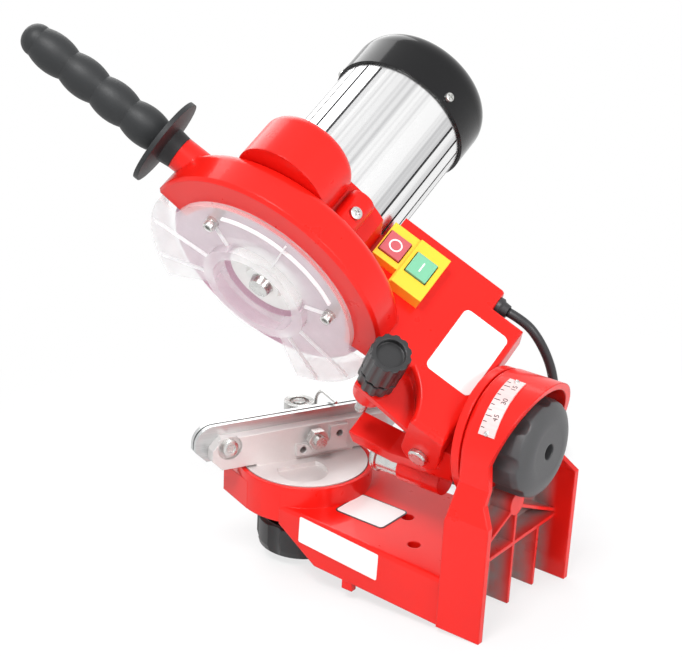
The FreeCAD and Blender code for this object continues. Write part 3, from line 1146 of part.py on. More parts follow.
def make_plug(spot):
    plug = new_body("plug")
    back = "-plug_length"
    spin(plug, "V", [
        ("0", "0"), ("plug_neck", "0"), ("plug_neck", "-plug_neck"), ("plug_radius", "-plug_shoulder"),
        ("plug_radius", back), ("0", back)])
    for side in ("", "-"):
        pad(plug, "XZ", f"{back} - pin_length", f"{back} + 1",
            circle(f"{side}plug_pin_half", "0", "plug_pin"))
    plug.Placement = place_of(floor_frame).multiply(Placement(spot, Rotation()))


def make_cord():
    relief = place_of(relief_frame)
    leave = relief.multVec(Vector(0, size("relief_length"), 0))
    out = relief.Rotation.multVec(Vector(0, 1, 0))
    floor = place_of(floor_frame)
    coil_start, coil_end, coil_length = make_coil()
    make_tie()
    make_plug(coil_end)
    height = size("coil_lift + cord_radius")
    # Points in the air are in the part's own frame, points on the floor in the floor's.
    in_air = [Vector(-49, 32, 160), Vector(-55, 38.5, 144), Vector(-60, 41, 127), Vector(-66, 39.3, 110.6),
              Vector(-72, 37.5, 90), Vector(-79, 35.5, 64), Vector(-88, 32, 38), Vector(-101, 25, 14)]
    on_floor = [(-121, -66), (-134, -92), (-140, -123), (-142, -155), (-146, -187), (-160, -214),
                (-184, -231), (-212, -234), (-239, -222), (-257, -199), (-264.5, -175)]
    route = [leave, leave + out * size("cord_straight")] + in_air
    route += [floor.multVec(Vector(across, along, height)) for across, along in on_floor]
    route.append(floor.multVec(coil_start))
    wire, radii = tangent_path(route, cord_bend_share)
    print("cord: bend radii", [round(radius) for radius in radii])
    cord = doc.addObject("Part::Feature", "cord_lead")
    cord.Label = "cord_lead"
    cord.Shape = tube_on(wire, leave, out, size("cord_radius"))
    pieces.append(cord)
    section = math.pi * size("cord_radius") ** 2
    print("cord: volume over section times length", round(cord.Shape.Volume / section / wire.Length, 4))
    print("cord: whole length", round(wire.Length + coil_length))


def check_and_write():
    doc.recompute()
    broken = [item.Label for item in doc.Objects if "Invalid" in item.State or "Error" in item.State]
    broken += [item.Label for item in pieces if item.Shape.isNull() or not item.Shape.isValid()]
    if broken:
        raise ValueError("These objects failed: " + ", ".join(broken))
    for item in pieces:
        item.Shape.exportStep(f"parts/{item.Label}.step")
        print(item.Label, len(item.Shape.Solids), round(item.Shape.Volume))


make_base()
make_scale_plate()
make_turret_clamp()
make_tilt_clamp()
make_turret()
make_vise_clamp()
make_chain_stop()
turret_place = place_of(turret_frame)
make_pawl()
make_bracket()
make_stop_sleeve()
make_head()
make_wheel()
make_motor()
make_clear_guard()
make_handle()
make_switch()
make_depth_stop()
make_relief()
make_cord()
check_and_write()
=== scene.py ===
import bmesh
import bpy
import math
from mathutils import Matrix, Vector


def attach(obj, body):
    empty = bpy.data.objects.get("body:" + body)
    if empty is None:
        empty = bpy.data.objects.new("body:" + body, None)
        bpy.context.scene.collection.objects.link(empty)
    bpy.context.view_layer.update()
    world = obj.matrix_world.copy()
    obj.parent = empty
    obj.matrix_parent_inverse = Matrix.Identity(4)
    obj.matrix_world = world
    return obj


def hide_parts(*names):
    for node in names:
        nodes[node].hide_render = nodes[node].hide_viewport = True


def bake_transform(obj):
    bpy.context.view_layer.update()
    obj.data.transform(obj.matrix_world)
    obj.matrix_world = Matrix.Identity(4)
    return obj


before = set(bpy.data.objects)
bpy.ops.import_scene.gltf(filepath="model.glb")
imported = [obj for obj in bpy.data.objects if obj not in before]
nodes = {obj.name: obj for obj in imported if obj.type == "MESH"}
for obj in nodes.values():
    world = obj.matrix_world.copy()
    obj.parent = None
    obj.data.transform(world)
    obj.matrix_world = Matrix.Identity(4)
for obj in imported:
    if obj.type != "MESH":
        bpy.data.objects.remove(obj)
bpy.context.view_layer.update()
scene = bpy.context.scene
scene.view_settings.view_transform = "Standard"
print("frame loaded:", len(nodes), "nodes")


def mm(*values):
    return Vector(values) / 1000


def turnX(degrees):
    return Matrix.Rotation(math.radians(degrees), 4, "X")


def turnY(degrees):
    return Matrix.Rotation(math.radians(degrees), 4, "Y")


def turnZ(degrees):
    return Matrix.Rotation(math.radians(degrees), 4, "Z")


def shift(*values):
    return Matrix.Translation(mm(*values))


# the machine's own frames, as in the part's source: places in millimetres, turns in degrees
frameSpec = {
    "turretAt": (0, -110, 0), "viseTurn": -26,
    "hoodAt": (0, 0, 112), "headTilt": 30,
    "hingeAt": (0, 4, 6), "headSwing": -22.5,
    "spindleAt": (0, -136.4, 36.6),
    "depthAt": (22, -42, 36), "depthLean": -10,
    "reliefAt": (-68, -10, 27),
    "floorAt": (0, 68, 0), "floorLean": 7.3,
    "plateRise": 32, "plateSlope": 0.24,
}
turretFrame = shift(*frameSpec["turretAt"]) @ turnZ(frameSpec["viseTurn"])
tiltFrame = shift(*frameSpec["hoodAt"]) @ turnY(frameSpec["headTilt"])
armFrame = tiltFrame @ shift(*frameSpec["hingeAt"]) @ turnX(frameSpec["headSwing"])
spindleFrame = armFrame @ shift(*frameSpec["spindleAt"])
depthFrame = armFrame @ shift(*frameSpec["depthAt"]) @ turnX(frameSpec["depthLean"])
reliefFrame = armFrame @ shift(*frameSpec["reliefAt"])
floorFrame = shift(*frameSpec["floorAt"]) @ turnX(frameSpec["floorLean"])
xWay = Vector((1, 0, 0))
yWay = Vector((0, 1, 0))


def plateFrame(across, along):
    # a spot on the arm's sloping plate, with Z out of the plate
    slope = frameSpec["plateSlope"]
    height = frameSpec["plateRise"] - slope * along
    return armFrame @ shift(across, along, height) @ turnX(-math.degrees(math.atan(slope)))


def axisFrame(spot, outward, across):
    # a frame at a spot with Z outward and X as near as it gets to across
    up = outward.normalized()
    side = (across - up * across.dot(up)).normalized()
    turn = Matrix((side, up.cross(side), up)).transposed().to_4x4()
    return Matrix.Translation(spot) @ turn


def awayFromSpindle(degrees):
    angle = math.radians(degrees)
    return Vector((0, math.cos(angle), math.sin(angle)))


def spindleSpot(along, radius, degrees):
    # a spot on a cylinder round the spindle, with Z pointing away from the axis
    away = awayFromSpindle(degrees)
    return spindleFrame @ axisFrame(mm(along, 0, 0) + away * radius / 1000, away, xWay)


def guardSpot(along, radius, degrees, across):
    # a spot on the clear guard, with Z pointing along the spindle
    spot = mm(along, 0, 0) + awayFromSpindle(degrees) * radius / 1000
    return spindleFrame @ axisFrame(spot, xWay, across)


# camera at the photograph's angle
cameraSpec = {"eye": (778.11, 484.25, 533.34), "azimuth": 126.2, "elevation": 21.8, "roll": 2.81,
              "lens": 84.75, "sensorWidth": 36, "farthest": 20}


def makeCamera(spec):
    data = bpy.data.cameras.new("photoCamera")
    data.sensor_fit = "HORIZONTAL"
    data.sensor_width = spec["sensorWidth"]
    data.lens = spec["lens"]
    data.clip_end = spec["farthest"]
    camera = bpy.data.objects.new("photoCamera", data)
    aim = turnZ(spec["azimuth"]) @ turnX(90 - spec["elevation"]) @ turnZ(spec["roll"])
    camera.matrix_world = shift(*spec["eye"]) @ aim
    scene.collection.objects.link(camera)
    scene.camera = camera


makeCamera(cameraSpec)
print("camera set")


class Sock:
    # one output of a shader node, so that maths on it reads as maths
    def __init__(self, shading, out):
        self.shading = shading
        self.out = out

    def maths(self, kind, *values):
        inputs = {f"_{index}": value for index, value in enumerate(values)}
        return self.shading.add("ShaderNodeMath", {"operation": kind}, **inputs)

    def __add__(self, other):
        return self.maths("ADD", self, other)

    def __radd__(self, other):
        return self.maths("ADD", other, self)

    def __sub__(self, other):
        return self.maths("SUBTRACT", self, other)

    def __rsub__(self, other):
        return self.maths("SUBTRACT", other, self)

    def __mul__(self, other):
        return self.maths("MULTIPLY", self, other)

    def __rmul__(self, other):
        return self.maths("MULTIPLY", other, self)

    def __pow__(self, other):
        return self.maths("POWER", self, other)

    def __rpow__(self, other):
        return self.maths("POWER", other, self)

    def over(self, limit):
        return self.maths("GREATER_THAN", self, limit)

    def under(self, limit):
        return self.maths("LESS_THAN", self, limit)

    def size(self):
        return self.maths("ABSOLUTE", self)

    def wave(self):
        return self.maths("SINE", self)

    def angleFrom(self, other):
        return self.maths("ARCTAN2", self, other)

    def ramp(self, start, finish):
        # 0 at start and 1 at finish, smooth between
        return self.shading.add("ShaderNodeMapRange", {"interpolation_type": "SMOOTHSTEP"}, Value=self,
                                From_Min=start, From_Max=finish)


class Shading:
    # a node tree, with one method that adds any node: inputs go by name, or by number as _0
    def __init__(self, tree):
        self.tree = tree

    def add(self, kind, settings=None, outlet=0, **inputs):
        node = self.tree.nodes.new(kind)
        for key, value in (settings or {}).items():
            setattr(node, key, value)
        for socket, value in inputs.items():
            numbered = socket[1:].isdigit()
            target = node.inputs[int(socket[1:])] if numbered else node.inputs[socket.replace("_", " ")]
            if isinstance(value, Sock):
                self.tree.links.new(value.out, target)
            else:
                target.default_value = value
        return Sock(self, node.outputs[outlet])

    def existing(self, name):
        return Sock(self, self.tree.nodes[name].outputs[0])

    def show(self, result, name):
        self.tree.links.new(result.out, self.tree.nodes[name].inputs[0])


class Finish(Shading):
    # a material with one Principled shader
    def __init__(self, name, **constants):
        self.material = bpy.data.materials.new(name)
        self.material.use_nodes = True
        super().__init__(self.material.node_tree)
        self.shader = self.tree.nodes["Principled BSDF"]
        for socket, value in constants.items():
            self.shader.inputs[socket.replace("_", " ")].default_value = value

    def feed(self, **sockets):
        for socket, value in sockets.items():
            self.tree.links.new(value.out, self.shader.inputs[socket.replace("_", " ")])
        return self

    def place(self):
        # object coordinates, which here are the frame's own
        return self.add("ShaderNodeTexCoord", outlet=3)

    def coordinate(self, index):
        return self.add("ShaderNodeSeparateXYZ", outlet=index, Vector=self.place())

    def along(self, direction):
        return self.add("ShaderNodeVectorMath", {"operation": "DOT_PRODUCT"}, outlet=1, _0=self.place(),
                        _1=tuple(direction))

    def noise(self, scale, detail=4, rough=0.55, where=None):
        spot = where or self.place()
        return self.add("ShaderNodeTexNoise", Vector=spot, Scale=scale, Detail=detail, Roughness=rough)

    def stretched(self, scales, turn=(0, 0, 0)):
        return self.add("ShaderNodeMapping", Vector=self.place(), Scale=scales, Rotation=turn)

    def blendColours(self, mask, low, high):
        ends = {}
        for socket, tone in (("_6", low), ("_7", high)):
            ends[socket] = tone if isinstance(tone, Sock) else (*tone, 1)
        return self.add("ShaderNodeMix", {"data_type": "RGBA"}, outlet=2, _0=mask, **ends)

    def bump(self, height, strength, distance=0.0005, edge=0):
        # fine relief, on edges that look rounded by the edge radius
        inputs = {"Height": height, "Strength": strength, "Distance": distance}
        if edge:
            inputs["Normal"] = self.add("ShaderNodeBevel", {"samples": 6}, Radius=edge)
        return self.add("ShaderNodeBump", **inputs)


def dress(finish, *names):
    for name in names:
        mesh = nodes[name].data
        mesh.materials.clear()
        mesh.materials.append(finish.material)


# glossy red enamel on the castings
paintSpec = {"base": (0.83, 0.014, 0.008), "deep": (0.70, 0.008, 0.005), "broad": 14, "grain": 60,
             "peel": 700, "edge": 0.0014}


def redPaint(name, spec):
    paint = Finish(name, Coat_Weight=0.18, Coat_Roughness=0.04, IOR=1.38, Specular_IOR_Level=0.35)
    broad = paint.noise(spec["broad"], detail=2)
    peel = paint.noise(spec["peel"], detail=2)
    colour = paint.blendColours(broad, spec["base"], spec["deep"])
    grain = paint.noise(spec["grain"], detail=5)
    paint.feed(Roughness=0.24 + 0.10 * grain, Normal=paint.bump(peel, 0.035, edge=spec["edge"]))
    return paint, colour


def armPaint(spec):
    paint, colour = redPaint("redEnamel", spec)
    return paint.feed(Base_Color=colour)


# the base: red paint that turns grey deeper into the recess between the ribs of its open back, in metres
backSpec = {"recessGrey": (0.33, 0.285, 0.275), "wall": 0.0494, "web": 0.0405, "fadeFrom": 0.0445,
            "ribEdge": 0.0575, "height": 0.079, "recessMottle": 90}


def basePaint(spec, back):
    paint, colour = redPaint("baseEnamel", spec)
    deep = 1 - paint.coordinate(1).ramp(back["fadeFrom"], back["ribEdge"])
    inside = paint.coordinate(0).size().under(back["wall"]) * paint.coordinate(1).over(back["web"])
    low = paint.coordinate(2).under(back["height"])
    recessMottle = paint.noise(back["recessMottle"], detail=4).ramp(0.25, 0.7)
    # greyer the deeper into the recess, in random patches
    mask = inside * low * deep * (0.65 + 0.35 * recessMottle)
    return paint.feed(Base_Color=paint.blendColours(mask, colour, back["recessGrey"]))


# sand-cast alloy of the turret and the vise bar
castSpec = {"bright": (0.80, 0.77, 0.76), "dull": (0.60, 0.57, 0.56), "patches": 35, "grain": 800}


def castAlloy(spec):
    alloy = Finish("castAlloy")
    patches = alloy.noise(spec["patches"], detail=5)
    grain = alloy.noise(spec["grain"], detail=3)
    colour = alloy.blendColours(patches, spec["dull"], spec["bright"])
    alloy.feed(Base_Color=colour, Metallic=0.45 + 0.25 * patches, Roughness=0.42 + 0.2 * grain,
               Normal=alloy.bump(grain, 0.22, 0.0003, edge=0.0007))
    return alloy


# ground steel of the rails, with fine lines along their length
railSpec = {"light": (0.72, 0.73, 0.73), "dark": (0.42, 0.43, 0.43), "lines": (30, 30, 2500), "cloud": 40}


def groundSteel(spec):
    steel = Finish("railSteel", Metallic=1.0)
    streak = steel.noise(1, detail=3, where=steel.stretched(spec["lines"]))
    cloud = steel.noise(spec["cloud"])
    colour = steel.blendColours(streak, spec["dark"], spec["light"])
    steel.feed(Base_Color=colour, Roughness=0.2 + 0.16 * streak + 0.08 * cloud,
               Normal=steel.bump(streak, 0.12, 0.0002, edge=0.0006))
    return steel


# bright zinc on bolts, nuts and pins
zincSpec = {"low": (0.46, 0.46, 0.45), "high": (0.82, 0.82, 0.80), "cloud": 180}


def zincBase(name, spec):
    zinc = Finish(name, Metallic=1.0)
    cloud = zinc.noise(spec["cloud"], detail=5)
    colour = zinc.blendColours(cloud, spec["low"], spec["high"])
    return zinc.feed(Base_Color=colour, Roughness=0.18 + 0.2 * cloud)


def zincSteel(spec):
    zinc = zincBase("zincSteel", spec)
    cloud = zinc.noise(spec["cloud"], detail=5)
    return zinc.feed(Normal=zinc.bump(cloud, 0.08, 0.0002, edge=0.0004))


def threadedZinc(name, spec, axis, pitch):
    # rolled thread as relief along the screw's own axis
    zinc = zincBase(name, spec)
    turns = (zinc.along(axis) * (2 * math.pi / pitch)).wave()
    return zinc.feed(Normal=zinc.bump(turns, 0.9, pitch / 4))


def knurledZinc(spec, centre, teeth):
    # straight knurl round the chain stop's knob
    zinc = zincBase("knurledZinc", spec)
    angle = (zinc.coordinate(1) - centre.y).angleFrom(zinc.coordinate(0) - centre.x)
    return zinc.feed(Normal=zinc.bump((angle * teeth).wave(), 0.5, 0.0005))


# moulded plastics share one recipe: a base tone, faint mottling and a fine grain
def mouldedPlastic(name, tone, rough=0.42, grain=1400, grainStrength=0.12, lift=1.35, edge=0.0006,
                   **constants):
    plastic = Finish(name, **constants)
    mottle = plastic.noise(25, detail=3)
    fine = plastic.noise(grain, detail=2)
    lighter = tuple(min(1, part * lift) for part in tone)
    plastic.feed(Base_Color=plastic.blendColours(mottle, tone, lighter), Roughness=rough - 0.08 + 0.16 * fine,
                 Normal=plastic.bump(fine, grainStrength, 0.0002, edge=edge))
    return plastic


# extruded, polished motor tube with fine draw lines along the motor axis, with painted reflections in light
# and dark bands round it and painted shade in its grooves
tubeSpec = {"low": (0.42, 0.42, 0.43), "high": (0.92, 0.92, 0.92), "groove": (0.13, 0.13, 0.135),
            "wall": 0.0462, "grooveFade": 0.0012, "reflectionBands": 2.6, "lines": (8, 900, 900), "cloud": 22}


def drawnAlloy(spec):
    tube = Finish("drawnAlloy", Metallic=1.0)
    levelled = (0, math.radians(-frameSpec["headTilt"]), 0)
    lines = tube.noise(1, detail=2, where=tube.stretched(spec["lines"], levelled))
    cloud = tube.noise(spec["cloud"])
    # grooves are told by how far they lie from the motor's axis and darkened with painted shade; bands of
    # painted reflection, light and dark, go by the angle round it
    hub = spindleFrame.translation
    away = [tube.along(axis) - axis.dot(hub) for axis in (spindleFrame.col[1].xyz, spindleFrame.col[2].xyz)]
    distance = (away[0] * away[0] + away[1] * away[1]) ** 0.5
    turn = tube.add("ShaderNodeCombineXYZ", X=away[0].angleFrom(away[1]))
    # painted reflection: the tube lighter or darker by its angle round the axis
    reflectionBands = tube.noise(spec["reflectionBands"], detail=3, rough=0.7, where=turn).ramp(0.34, 0.56)
    paintedReflection = tube.blendColours(reflectionBands, spec["low"], spec["high"])
    # painted shade: the grooves darkened toward the dark groove colour
    groove = 1 - distance.ramp(spec["wall"] - spec["grooveFade"], spec["wall"])
    tube.feed(Base_Color=tube.blendColours(groove, paintedReflection, spec["groove"]),
              Roughness=0.16 + 0.12 * lines + 0.06 * cloud + 0.25 * groove,
              Normal=tube.bump(lines, 0.05, 0.0002))
    return tube


# clear guard plastic: mostly see-through face on, milky where it is seen along its sheet
guardSpec = {"tone": (0.95, 0.945, 0.95), "rim": (0.55, 0.55, 0.57), "face": 0.06, "rib": 0.5,
             "grazing": 0.50}


def clearPlastic(name, spec, veil):
    clear = Finish(name, IOR=1.35, Specular_IOR_Level=0.4)
    scuff = clear.noise(120, detail=6, rough=0.7)
    facing = clear.add("ShaderNodeLayerWeight", outlet=1, Blend=0.35)
    clear.feed(Base_Color=clear.blendColours(facing.ramp(0.45, 0.95), spec["tone"], spec["rim"]),
               Roughness=0.04 + 0.12 * scuff ** 3, Alpha=veil + spec["grazing"] * facing + 0.05 * scuff)
    return clear


# vitrified grit of the wheel
gritSpec = {"low": (0.48, 0.26, 0.35), "high": (0.68, 0.48, 0.57), "grains": 1500, "cloud": 50}


def gritStone(spec):
    grit = Finish("gritStone")
    grains = grit.add("ShaderNodeTexVoronoi", {"feature": "F1"}, Vector=grit.place(), Scale=spec["grains"])
    cloud = grit.noise(spec["cloud"], detail=6)
    colour = grit.blendColours(grains, spec["low"], spec["high"])
    grit.feed(Base_Color=colour, Roughness=0.75 + 0.2 * cloud, Normal=grit.bump(grains, 0.6, 0.0004))
    return grit


# printed, brushed aluminium strip of the tilt scale
stripSpec = {"low": (0.74, 0.52, 0.51), "high": (0.86, 0.68, 0.67), "lines": (900, 40, 900)}


def stripMetal(spec):
    strip = Finish("scaleStrip")
    streak = strip.noise(1, detail=2, where=strip.stretched(spec["lines"]))
    colour = strip.blendColours(streak, spec["low"], spec["high"])
    strip.feed(Base_Color=colour, Metallic=0.25 + 0.2 * streak, Roughness=0.3 + 0.2 * streak,
               Normal=strip.bump(streak, 0.08, 0.0002))
    return strip


# plug rubber, with bare metal on its two pins
plugSpec = {"tone": (0.018, 0.018, 0.020), "metal": (0.72, 0.70, 0.62), "pinStart": -190.4, "grain": 700}


def plugRubber(spec):
    rubber = Finish("plugRubber")
    fine = rubber.noise(spec["grain"], detail=2)
    backward = floorFrame.col[1].xyz
    pinPlane = backward.dot(floorFrame @ mm(0, spec["pinStart"], 0))
    pins = (rubber.along(backward) - pinPlane).under(0)
    colour = rubber.blendColours(pins, spec["tone"], spec["metal"])
    rubber.feed(Base_Color=colour, Metallic=pins, Roughness=0.36 + 0.14 * fine - 0.2 * pins,
                Normal=rubber.bump(fine, 0.12, 0.0002))
    return rubber


# thread of the screws in metres, and the chain stop's knob on the turret in millimetres
threadPitch = 0.00125
stopKnob = {"at": (-13, -39, 0), "teeth": 40}

red = armPaint(paintSpec)
redBase = basePaint(paintSpec, backSpec)
cast = castAlloy(castSpec)
rail = groundSteel(railSpec)
zinc = zincSteel(zincSpec)
depthThread = threadedZinc("depthThread", zincSpec, depthFrame.col[2].xyz, threadPitch)
studThread = threadedZinc("studThread", zincSpec, turretFrame.col[1].xyz, threadPitch)
knurl = knurledZinc(zincSpec, turretFrame @ mm(*stopKnob["at"]), stopKnob["teeth"])
blackPlastic = mouldedPlastic("knobBlack", (0.016, 0.016, 0.017), rough=0.36, edge=0.0012)
greyPlastic = mouldedPlastic("knobGrey", (0.050, 0.050, 0.052), rough=0.40, edge=0.0016)
gripRubber = mouldedPlastic("gripBlack", (0.017, 0.018, 0.019), rough=0.50, grain=900, grainStrength=0.25,
                            Specular_IOR_Level=0.35)
capEnamel = mouldedPlastic("capEnamel", (0.004, 0.004, 0.0045), rough=0.14, grain=500, grainStrength=0.02,
                           Specular_IOR_Level=0.2, Coat_Weight=0.2, Coat_Roughness=0.03)
motorTube = drawnAlloy(tubeSpec)
clear = clearPlastic("clearPlastic", guardSpec, guardSpec["face"])
clearRib = clearPlastic("clearRib", guardSpec, guardSpec["rib"])
yellow = mouldedPlastic("switchYellow", (0.92, 0.54, 0.035), rough=0.35, lift=1.06, edge=0.0010)
stopRed = mouldedPlastic("stopRed", (0.50, 0.095, 0.11), rough=0.32, lift=1.1)
startGreen = mouldedPlastic("startGreen", (0.17, 0.47, 0.29), rough=0.32, lift=1.1)
grit = gritStone(gritSpec)
whiteFlange = mouldedPlastic("flangeWhite", (0.80, 0.80, 0.78), rough=0.4, lift=1.08)
coreIron = mouldedPlastic("coreIron", (0.14, 0.14, 0.15), rough=0.5, Metallic=0.8)
sheath = mouldedPlastic("cordSheath", (0.018, 0.018, 0.020), rough=0.42, grain=700, grainStrength=0.1, edge=0)
plugFinish = plugRubber(plugSpec)
strip = stripMetal(stripSpec)
labelWhite = mouldedPlastic("labelWhite", (0.84, 0.84, 0.83), rough=0.30, grain=2500, grainStrength=0.04,
                            lift=1.05)
ink = mouldedPlastic("markInk", (0.025, 0.025, 0.028), rough=0.4, edge=0)
markWhite = mouldedPlastic("markWhite", (0.80, 0.78, 0.78), rough=0.4, lift=1.05, edge=0)

dress(red, "head_casting", "tilt_bracket", "capacitor_cover")
dress(redBase, "base_casting")
dress(cast, "vise_turret", "chain_stop_bracket")
dress(rail, "fixed_rail", "moving_rail")
dress(zinc, "turret_stud", "turret_washer", "tilt_bolt", "tilt_washer", "hinge_pin", "hinge_nut", "clamp_nut",
      "rail_bolt", "chain_stop_pawl", "handle_stud", "spindle_screw", "guard_posts", "inner_flange",
      "front_bearing", "rear_bearing", "spindle", "stop_sleeve")
dress(depthThread, "depth_screw")
dress(studThread, "clamp_stud")
dress(knurl, "chain_stop_knob")
dress(blackPlastic, "turret_lock_knob", "depth_knob", "depth_lock_ring", "clamp_lever", "capacitor")
dress(greyPlastic, "tilt_lock_knob")
dress(gripRubber, "handle_grip")
dress(capEnamel, "motor_cap")
dress(motorTube, "motor_housing")
dress(clear, "clear_guard")
dress(yellow, "switch_housing")
dress(stopRed, "stop_button")
dress(startGreen, "start_button")
dress(grit, "grinding_wheel")
dress(whiteFlange, "outer_flange")
dress(coreIron, "stator", "rotor", "motor_shield")
dress(sheath, "strain_relief", "coil_tie", "cord_lead", "cord_coil")
dress(plugFinish, "plug")
dress(strip, "scale_plate")
print("finishes made")

# mains cord: points in the air in the part's frame, points on the floor in the floor's, millimetres
cordSpec = {
    "radius": 3.1, "lift": 4.7, "exitLength": 8, "straight": 12,
    "air": [(-49, 32, 160), (-55, 38.5, 144), (-60, 41, 127), (-66, 39.3, 110.6), (-72, 37.5, 90),
            (-79, 35.5, 64), (-88, 32, 38), (-101, 25, 14)],
    "floor": [(-121, -66), (-134, -92), (-140, -123), (-142, -155), (-146, -187), (-160, -214), (-184, -231),
              (-212, -234), (-239, -222), (-257, -199), (-264.5, -175)],
    "bracketSpot": (-60, 41, 127), "baseSpot": (-88, 32, 38),
    "coilCentre": (-225, -146), "coilRadius": 39.5, "coilStep": 6.8, "coilLayer": 6.8, "halfTurns": 5,
    "tuck": 2, "pointsPerHalf": 7, "splinePull": 1.015,
}


def coilPoints(spec):
    # loops wind in on the floor, climb one layer, and wind out again
    half = spec["halfTurns"]
    step = spec["coilStep"] / 2
    inner = spec["coilRadius"] - half * step
    radii = [spec["coilRadius"] - k * step for k in range(half)] + [inner - spec["tuck"]] * 2
    radii += [inner + k * step for k in range(1, half + 1)]
    heights = [spec["lift"]] * (half + 1) + [spec["lift"] + spec["coilLayer"]] * (half + 1)
    across, along = spec["coilCentre"]
    points = []
    for k in range(len(radii) - 1):
        for number in range(spec["pointsPerHalf"]):
            share = number / spec["pointsPerHalf"]
            smooth = share * share * (3 - 2 * share)
            # the spline runs a little inside its points
            radius = (radii[k] + (radii[k + 1] - radii[k]) * smooth) * spec["splinePull"]
            height = heights[k] + (heights[k + 1] - heights[k]) * smooth
            angle = math.pi * (1 - k - share)
            x = across + radius * math.cos(angle)
            y = along + radius * math.sin(angle)
            points.append(floorFrame @ mm(x, y, height))
    lead = 2 * spec["radius"]
    points.append(floorFrame @ mm(across + radii[-1], along, heights[-1]))
    points.append(floorFrame @ mm(across + radii[-1], along - lead, heights[-1]))
    return points


def cordRoute(spec):
    leave = reliefFrame @ mm(0, spec["exitLength"], 0)
    route = [leave, reliefFrame @ mm(0, spec["exitLength"] + spec["straight"], 0)]
    route += [mm(*point) for point in spec["air"]]
    route += [floorFrame @ mm(*point, spec["lift"]) for point in spec["floor"]]
    across, along = spec["coilCentre"]
    route.append(floorFrame @ mm(across - spec["coilRadius"], along - 2 * spec["radius"], spec["lift"]))
    return route + coilPoints(spec)


def splineThrough(name, points):
    data = bpy.data.curves.new(name, "CURVE")
    data.dimensions = "3D"
    data.resolution_u = 10
    spline = data.splines.new("NURBS")
    spline.points.add(len(points) - 1)
    for target, point in zip(spline.points, points):
        target.co = (*point, 1)
    spline.order_u = 3
    spline.use_endpoint_u = True
    return data


def meshFromCurve(data):
    holder = bpy.data.objects.new("curveHolder", data)
    scene.collection.objects.link(holder)
    bpy.context.view_layer.update()
    mesh = bpy.data.meshes.new_from_object(holder)
    bpy.data.objects.remove(holder)
    bpy.data.curves.remove(data)
    return mesh


def readSpline(points):
    mesh = meshFromCurve(splineThrough("routeLine", points))
    line = [vertex.co.copy() for vertex in mesh.vertices]
    bpy.data.meshes.remove(mesh)
    return line


def newPiece(name, mesh, finish):
    piece = bpy.data.objects.new(name, mesh)
    scene.collection.objects.link(piece)
    mesh.materials.append(finish.material)
    return piece


def joinRings(shape, first, second):
    for side in range(len(first)):
        follow = (side + 1) % len(first)
        shape.faces.new((first[side], first[follow], second[follow], second[side]))


def closeEnds(shape, rings):
    shape.faces.new(reversed(rings[0]))
    shape.faces.new(rings[-1])


def tubeAlong(name, line, radius, finish, sides=14):
    mesh = bpy.data.meshes.new(name)
    shape = bmesh.new()
    heading = (line[1] - line[0]).normalized()
    across = heading.orthogonal().normalized()
    turns = [2 * math.pi * side / sides for side in range(sides)]
    rings = []
    for index, spot in enumerate(line):
        ahead = line[min(index + 1, len(line) - 1)] - line[max(index - 1, 0)]
        ahead.normalize()
        across = (across - ahead * across.dot(ahead)).normalized()
        other = ahead.cross(across)
        ways = [math.cos(turn) * across + math.sin(turn) * other for turn in turns]
        rings.append([shape.verts.new(spot + radius * way) for way in ways])
    for first, second in zip(rings, rings[1:]):
        joinRings(shape, first, second)
    closeEnds(shape, rings)
    for face in shape.faces:
        face.smooth = len(face.verts) == 4
    shape.to_mesh(mesh)
    shape.free()
    return newPiece(name, mesh, finish)


def lineLength(line):
    return sum((after - before).length for before, after in zip(line, line[1:]))


def nearest(line, spot):
    return min(range(len(line)), key=lambda index: (line[index] - spot).length)


def makeCord(spec):
    line = readSpline(cordRoute(spec))
    middle = nearest(line, mm(*spec["bracketSpot"]))
    landing = nearest(line, mm(*spec["baseSpot"]))
    radius = spec["radius"] / 1000
    upper = line[:middle + 1]
    lower = line[middle:landing + 1]
    lying = line[landing:]
    top = tubeAlong("cordUpper", upper, radius, sheath)
    drop = tubeAlong("cordLower", lower, radius, sheath)
    rest = tubeAlong("cordLying", lying, radius, sheath)
    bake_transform(top)
    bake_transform(drop)
    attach(rest, "base")
    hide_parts("cord_lead", "cord_coil")
    runs = [
        (top, upper, "object", "hanging", []),
        (drop, lower, "object", "hanging", []),
        (rest, lying, "plug", "coiled", [nodes["plug"], nodes["coil_tie"]]),
    ]
    for piece, path, end, lay, extra in runs:
        lineLength(path)
    print("cord laid:", round(lineLength(line), 3), "m")


makeCord(cordSpec)


# small pieces are lofted from flat outlines, each a list of points with a height, in millimetres
ringPoints = 48
plateSunk = 0.05
sharpAngle = 32


def ringOutline(reach, offset=0):
    # points all round, each as far out as reach says for its angle
    turns = [2 * math.pi * (step + offset) / ringPoints for step in range(ringPoints)]
    return [(reach(turn) * math.cos(turn), reach(turn) * math.sin(turn)) for turn in turns]


def circleOutline(radius):
    return ringOutline(lambda turn: radius)


def hexOutline(radius):
    # the same number of points as a circle, pulled in to the flats of a hexagon
    flat = radius * math.cos(math.pi / 6)
    return ringOutline(lambda turn: flat / math.cos(turn % (math.pi / 3) - math.pi / 6))


def crossOutline(length, width):
    # a plus sign told by its reach in each direction
    innerCorner = 1.4 * width

    def reach(turn):
        wide = max(abs(math.cos(turn)), abs(math.sin(turn)))
        thin = min(abs(math.cos(turn)), abs(math.sin(turn)))
        return min(length / wide, max(width / thin, innerCorner))

    return ringOutline(reach, offset=0.5)


def plateOutline(halfLong, halfWide, corner, inset=0, perCorner=6):
    reach = corner - inset
    points = []
    for quarter, (sideX, sideY) in enumerate(((1, 1), (-1, 1), (-1, -1), (1, -1))):
        for step in range(perCorner + 1):
            turn = math.pi / 2 * (quarter + step / perCorner)
            points.append((sideX * (halfLong - corner) + reach * math.cos(turn),
                           sideY * (halfWide - corner) + reach * math.sin(turn)))
    return points


